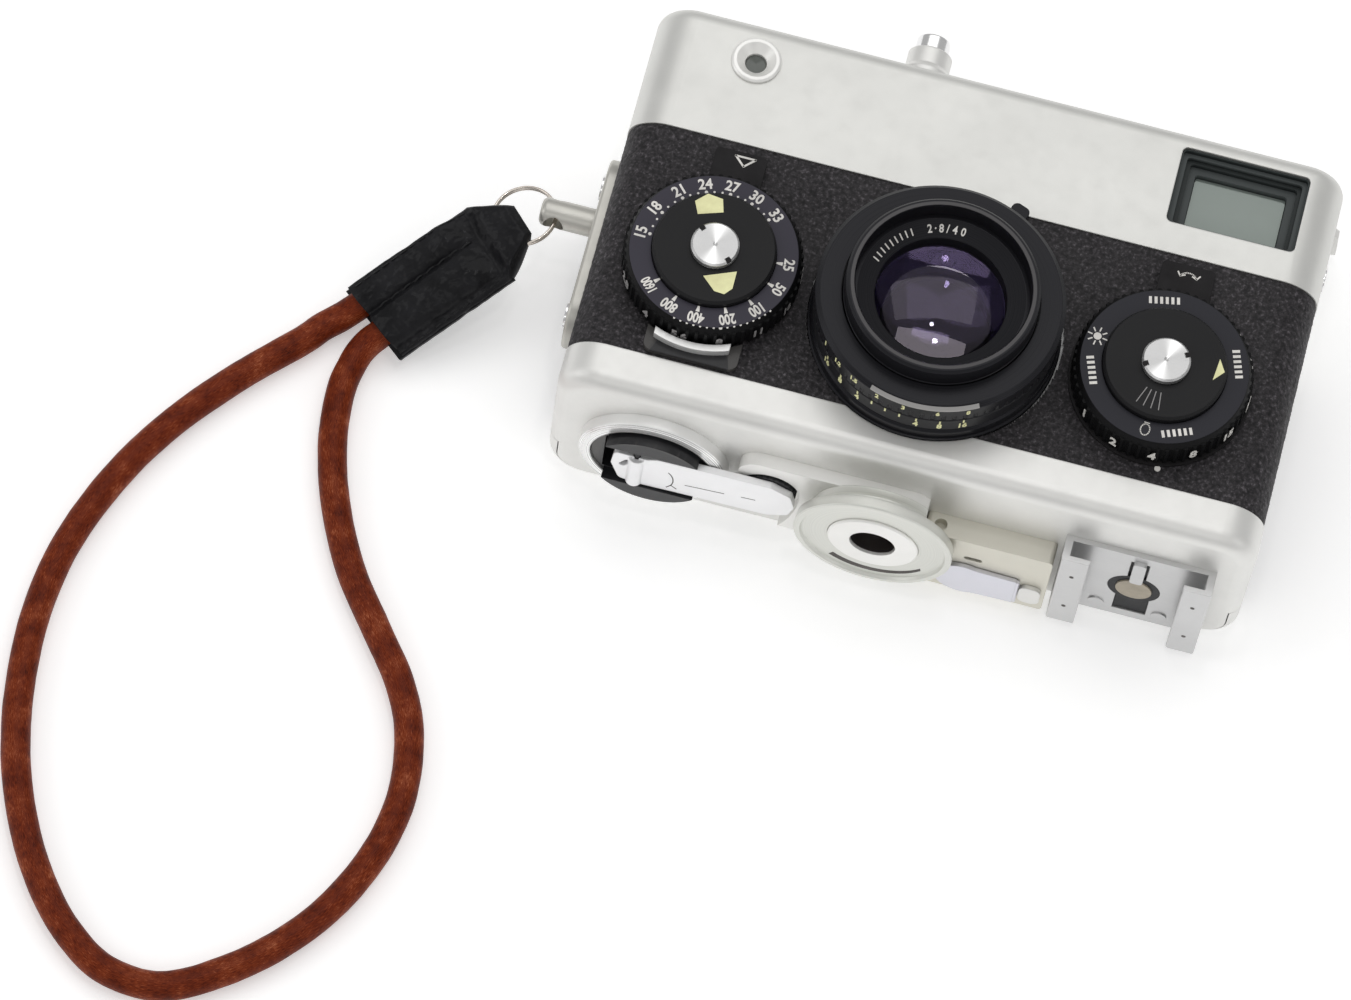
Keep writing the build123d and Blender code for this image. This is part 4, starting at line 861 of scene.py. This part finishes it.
# ---------------------------------------------------------------- base details
bag = Bag()
arc = [(-31.2 + 2.1 * math.cos(a), 12.4 + 2.9 * math.sin(a)) for a in [(-0.5 + 1.4 * k / 10) for k in range(11)]]
bag.stroke(arc, 0.16, base_y(-24.4), 0.02)
bag.stroke([(-29.9, 10.2), (-29.3, 11.1), (-28.5, 10.4)], 0.16, base_y(-24.4), 0.02)
bag.stroke([(-27.4, 12.2), (-22.0, 12.7)], 0.14, base_y(-24.4), 0.02)
bag.stroke([(-19.6, 13.0), (-17.7, 13.15)], 0.14, base_y(-24.4), 0.02)
bag.make("crank_engraving", M_INK_AND_SHADE, "rewind_crank")

pts = []
y = -21.5
while y > -26.9:
    pts += [(3.17, y), (2.98, y - 0.3)]
    y -= 0.6
lathe("tripod_thread", pts, metal("thread_dark", (0.12, 0.105, 0.10), 0.4, 0.05, 0.05, 0.9, 0.1), "camera_body", (-0.85, 0, 14.25), "Y", 64)
# painted shadow: a dark crescent on the tripod disc along the edge of its recess
bag = Bag()
outer = [(8.9 * math.cos(a), 8.9 * math.sin(a)) for a in [math.radians(-128 + 92 * k / 16) for k in range(17)]]
inner = [(0.25 + 8.45 * math.cos(a), 0.35 + 8.35 * math.sin(a)) for a in [math.radians(-36 - 92 * k / 16) for k in range(17)]]
bag.prism([(x - 0.85, z + 14.25) for x, z in outer + inner], base_y(-26.55), 0.03)
bag.make("tripod_disc_painted_shadow", M_INK_AND_SHADE, "camera_body")

bag = Bag()
for k in range(36):
    a = math.radians(10 * k)
    r0 = 3.4 if k % 6 else 2.9
    bag.stroke([(11.5 + r0 * math.cos(a), 8.6 + r0 * math.sin(a)), (11.5 + 4.5 * math.cos(a), 8.6 + 4.5 * math.sin(a))],
               0.16, base_y(-23.85), 0.03)
bag.make("counter_wheel_ticks", M_WHITE, "counter_wheel")

bag = Bag()
for x in (26.3, 43.1):
    for zz in (6.4, 15.6):
        bag.disc(x, zz, 0.32, base_y(-25.0), 0.02)
bag.make("shoe_rail_dots", M_INK_AND_SHADE, "camera_body")

# ---------------------------------------------------------------- split ring, wound from two turns of wire
tilt = math.radians(14.0)
rx, rn = Vector((math.cos(tilt), 0, math.sin(tilt))), Vector((-math.sin(tilt), 0, math.cos(tilt)))
rc = Vector((-54.2, 9.6, 14.5)) - rx * 4.34 - Vector((0, 1.0, 0))
path = []
for k in range(145):
    t = k / 144
    a = math.radians(205) + t * 2 * 2 * math.pi * 0.985
    u = t * 2 - 1
    off = 0.21 * math.tanh(u * 9)
    path.append(rc + (rx * math.cos(a) + Vector((0, 1, 0)) * math.sin(a)) * 4.45 + rn * off)
vs, fs, uv = tube(path, 0.22, 10)
ring = obj_from("split_ring_coil", vs, fs, metal("ring_nickel", (0.72, 0.66, 0.60), 0.16, 0.05, 0.0, 1.0, 0.1), "split_ring")
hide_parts("split_ring")

# ---------------------------------------------------------------- strap: sleeve and cord
S0 = Vector((-74.6, -8.42, 3.35))
s_dir = Vector((15.97, 15.56, 11.2)).normalized()
n_dir = Vector((-0.698, 0.716, 0)).normalized()
t_dir = s_dir.cross(n_dir)
CN = (3.9, -1.3)


def smooth(a, b, x):
    t = min(1.0, max(0.0, (x - a) / (b - a)))
    return t * t * (3 - 2 * t)


def half_width(s):
    """Upper and lower edge (n) of the sleeve at distance s from its mouth."""
    up = 6.75 - 0.65 * smooth(0, 20, s)
    lo = -5.85 - 0.3 * smooth(0, 20, s)
    if s > 19.7:
        k = (s - 19.7) / 5.2
        up = up + (2.7 - up) * k
        lo = lo + (-2.7 - lo) * k
    return lo, up


def bulge(s, n):
    """Height of the upper skin above the mid-plane: cords lift it, the stitched line between them pulls it down."""
    h = 0.62
    fade = 1 - smooth(14.5, 19.6, s)
    for c, amp in ((CN[0], 2.0), (CN[1], 2.25)):
        d = abs(n - c)
        h = max(h, 0.62 + amp * fade * max(0.0, 1 - (d / 3.5) ** 2) ** 0.62)
    # stitched line between the two cords
    h -= 0.34 * math.exp(-((n - 1.3) / 0.55) ** 2) * fade
    return h


NS, NN = 150, 110
SLEEVE_S = 25.3


def sleeve_side(sign, name_seed):
    rows = []
    for i in range(NS + 1):
        s = 0.5 + (SLEEVE_S - 0.5) * i / NS
        lo, up = half_width(s)
        row = []
        for j in range(NN + 1):
            t = j / NN
            n = lo + (up - lo) * t
            sk = s - 0.10 * n * (1 - smooth(0, 6, s)) * 0.9
            h = bulge(s, n) if sign > 0 else max(0.62, bulge(s, n) * 0.86)
            # folded tip: the strip turns round the ring and comes back, so it is thicker and rounder there
            tip = smooth(18.5, 21.0, s)
            h = h * (1 - tip) + tip * (1.55 + 0.35 * math.cos((s - 21.0) * 0.55))
            end = smooth(24.0, 25.3, s)
            h *= math.sqrt(max(0.02, 1 - end ** 2))
            edge = min(t, 1 - t) * (up - lo)
            h *= math.sqrt(min(1.0, 0.25 + edge / 0.55)) if edge < 0.42 else 1.0
            w = Vector((s * 0.5, n * 0.6, sign * 7.3 + name_seed))
            wr = noise.noise(w) * 0.22 + noise.noise(w * 2.7) * 0.09 + noise.noise(w * 6.0) * 0.03
            edge_wob = noise.noise(Vector((s * 0.45, sign * 3.0 + (9 if t > 0.5 else 0), 2.0))) * 0.16
            nn = n + edge_wob * (1 if abs(t - 0.5) > 0.3 else 0.4)
            row.append(S0 + s_dir * sk + n_dir * nn + t_dir * (sign * max(0.08, h + wr * smooth(0.1, 0.6, edge))))
        rows.append(row)
    return rows


top = sleeve_side(1, 0.0)
bot = sleeve_side(-1, 4.0)
vs, fs = [], []
n = NN + 1
for rows in (top, bot):
    for row in rows:
        vs += [tuple(p) for p in row]
off = (NS + 1) * n
for i in range(NS):
    for j in range(NN):
        a = i * n + j
        fs.append((a, a + n, a + n + 1, a + 1))
        fs.append((off + a, off + a + 1, off + a + n + 1, off + a + n))
for i in range(NS):
    a, b = i * n, (i + 1) * n
    fs.append((a, off + a, off + b, b))
    a, b = i * n + NN, (i + 1) * n + NN
    fs.append((b, off + b, off + a, a))
for j in range(NN):
    a, b = NS * n + j, NS * n + j + 1
    fs.append((a, off + a, off + b, b))
    fs.append((j + 1, off + j + 1, off + j, j))
sleeve = obj_from("strap_sleeve_leather", vs, fs, MATS["black_leather"], "wrist_strap")
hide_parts("strap_sleeve")

# second strip of the sleeve, sewn under the first and showing along both long edges
vs, fs = [], []
k = 0
for i in range(61):
    s = -0.3 + 19.5 * i / 60
    lo, up = half_width(s)
    wob = noise.noise(Vector((s * 0.5, 1.0, 5.0))) * 0.15
    for nn in (lo - 0.1 + wob, up + 0.1 + wob):
        for tt in (-0.15, -0.95):
            vs.append(tuple(S0 + s_dir * (s - 0.1 * nn) + n_dir * nn + t_dir * tt))
for i in range(60):
    a, b = i * 4, i * 4 + 4
    fs += [(a, a + 2, b + 2, b), (a + 1, b + 1, b + 3, a + 3), (a, b, b + 1, a + 1), (a + 2, a + 3, b + 3, b + 2)]
fs += [(0, 1, 3, 2), (240, 242, 243, 241)]
obj_from("sleeve_lining", vs, fs, MATS["black_leather"], "wrist_strap")

# stitches of black waxed thread along the middle seam
M_THREAD = paint("waxed_thread", (0.010, 0.010, 0.011), 0.55, 0.05, 0.0, 0.3, 12.0)
bag = Bag()
s = 2.2
while s < 17.6:
    for half in (0,):
        p = []
        for q in range(7):
            u = q / 6
            ss = s + 1.5 * u
            nn = 1.3 + 0.12 * math.sin(u * math.pi) + 0.28 * (u - 0.5)
            hh = max(0.1, bulge(ss, nn)) + 0.16 * math.sin(u * math.pi) - 0.05
            p.append(S0 + s_dir * ss + n_dir * nn + t_dir * hh)
        a, b, _ = tube(p, 0.17, 8)
        bag.add(a, b)
    s += 2.0
for q in range(12):
    for nn0 in (5.55, -5.55):
        ss0 = 1.0 + q * 1.55
        p = []
        for e in range(5):
            u = e / 4
            ss = ss0 + 1.05 * u
            p.append(S0 + s_dir * ss + n_dir * nn0 + t_dir * (max(0.1, bulge(ss, nn0)) + 0.06 * math.sin(u * math.pi)))
        a, b, _ = tube(p, 0.10, 6)
        bag.add(a, b)
bag.make("sleeve_stitches", M_THREAD, "wrist_strap", True)

CORD_PATH = [(-84.06, -12.98), (-90.83, -20.5), (-97.55, -29.55), (-102.71, -39.21),
             (-106.42, -50.38), (-107.75, -61.43), (-106.95, -72.59), (-104.77, -82.74),
             (-101.0, -92.14), (-96.47, -99.65), (-91.19, -105.54), (-85.06, -109.41),
             (-77.49, -109.9), (-70.18, -105.87), (-63.29, -99.55), (-58.14, -92.17),
             (-54.67, -83.58), (-53.38, -74.7), (-54.77, -65.6), (-58.0, -58.6), (-63.11, -51.76),
             (-68.7, -44.11), (-73.09, -35.3), (-75.83, -26.6), (-76.75, -18.85)]
la, ra = S0 + n_dir * CN[0], S0 + n_dir * CN[1]
pts = [la + s_dir * 13.0, la + s_dir * 7.0, la + s_dir * 0.6, Vector((-79.24, -7.50, 2.45)), Vector((-81.67, -9.87, 2.1))]
pts += [Vector((x, y, 2.1)) for x, y in CORD_PATH]
pts += [Vector((-76.3, -14.3, 2.1)), Vector((-75.25, -11.25, 2.5)), ra + s_dir * 0.6, ra + s_dir * 7.0, ra + s_dir * 13.0]
path = spline(pts, 14)


def cord_shape(dist, a):
    w = Vector((dist * 0.22, math.cos(a) * 0.9, math.sin(a) * 0.9))
    r = 2.02 + 0.05 * noise.noise(w) + 0.03 * noise.noise(w * 3.1)
    d = (a - 3.9 - 0.12 * math.sin(dist * 0.05) + math.pi) % (2 * math.pi) - math.pi
    r -= 0.16 * math.exp(-(d / 0.10) ** 2)
    return r


vs, fs, uv = tube(path, 2.05, 40, shape=cord_shape)
vs = [(x, y, max(z, 0.03)) for x, y, z in vs]
cord = obj_from("strap_cord_leather", vs, fs, MATS["brown_leather"], "wrist_strap", True, uv)
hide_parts("strap_cord")

# ---------------------------------------------------------------- stage, light, camera
me = bpy.data.meshes.new("floor")
S = 3.0
me.from_pydata([(-S, -S, -0.0001), (S, -S, -0.0001), (S, S, -0.0001), (-S, S, -0.0001)], [], [(0, 1, 2, 3)])
floor = bpy.data.objects.new("floor", me)
m, nt, b = new_mat("floor_paper")
fine = noise_tex(nt, coords(nt), 1.5, 3.0, 0.5)
nt.links.new(ramp(nt, fine, [(0.3, (0.93, 0.93, 0.93)), (0.7, (0.95, 0.95, 0.95))]), b.inputs["Base Color"])
b.inputs["Roughness"].default_value = 0.9
b.inputs["Specular IOR Level"].default_value = 0.1
b.inputs["Emission Color"].default_value = (1, 1, 1, 1)
b.inputs["Emission Strength"].default_value = 0.34
me.materials.append(m)
scene.collection.objects.link(floor)

world = bpy.data.worlds.new("studio")
world.use_nodes = True
scene.world = world
world.node_tree.nodes["Background"].inputs[0].default_value = (1, 1, 1, 1)
world.node_tree.nodes["Background"].inputs[1].default_value = 0.48


def area(name, loc, target, size, power, colour=(1, 1, 1), shape="RECTANGLE", size_y=None):
    l = bpy.data.lights.new(name, "AREA")
    l.shape = shape
    l.size = size * MM
    if size_y:
        l.size_y = size_y * MM
    l.energy = power
    l.color = colour
    o = bpy.data.objects.new(name, l)
    o.location = Vector(loc) * MM
    d = (Vector(target) - Vector(loc)).normalized()
    o.rotation_mode = "QUATERNION"
    o.rotation_quaternion = d.to_track_quat("-Z", "Y")
    scene.collection.objects.link(o)
    return o


area("softbox_top", (-60, 300, 620), (0, 0, 20), 720, 1.02, (1, 0.995, 0.985), "RECTANGLE", 420)
area("softbox_left", (-560, -160, 330), (-20, -20, 20), 300, 0.45, (1, 1, 1), "RECTANGLE", 380)
area("softbox_right", (520, -260, 380), (0, 0, 20), 220, 0.22, (1, 1, 1), "RECTANGLE", 300)
# two panels that only the front glass mirrors
lens_only = bpy.data.collections.new("lens_reflections")
lens_only.objects.link(nodes["front_lens_element"])
for panel in (area("panel_front", (0, -250, 900), (0, 0, 20), 900, 4.6, (1, 0.985, 0.93), "RECTANGLE", 470),
              area("panel_back", (0, 760, 480), (0, 0, 30), 420, 1.1, (1, 1, 0.95), "RECTANGLE", 170)):
    panel.light_linking.receiver_collection = lens_only
area("softbox_low", (0, -520, 560), (0, 0, 20), 420, 0.28, (1, 0.995, 0.98), "RECTANGLE", 200)
area("lamp_small", (40, -90, 760), (0, 0, 30), 52, 0.24, (1, 0.98, 0.96), "DISK")
area("lamp_small_2", (-30, 70, 820), (0, 0, 30), 46, 0.2, (0.96, 0.96, 1), "DISK")

cam = bpy.data.cameras.new("camera")
cam.sensor_width = 36.0
cam.sensor_fit = "HORIZONTAL"
cam.lens = 8162.656553519508 * 36.0 / 1351.0
cam.clip_start, cam.clip_end = 0.05, 20.0
co = bpy.data.objects.new("camera", cam)
R = [[0.9679487992931238, 0.23981745774038812, 0.07458356997313159],
     [0.24845322945617135, -0.8709816299040748, -0.42386553662976695],
     [-0.036689436079053304, 0.4288106660667134, -0.9026490447275856]]
C = (12.41945249, -500.59705432, 1009.37055717)
M = Matrix.Identity(4)
for i in range(3):
    M[i][0], M[i][1], M[i][2] = R[0][i], -R[1][i], -R[2][i]
    M[i][3] = C[i] * MM
co.matrix_world = M
scene.collection.objects.link(co)
scene.camera = co

scene.view_settings.view_transform = "Standard"
scene.view_settings.look = "None"
scene.view_settings.exposure = 0.0
scene.cycles.max_bounces = 10
scene.cycles.transmission_bounces = 8
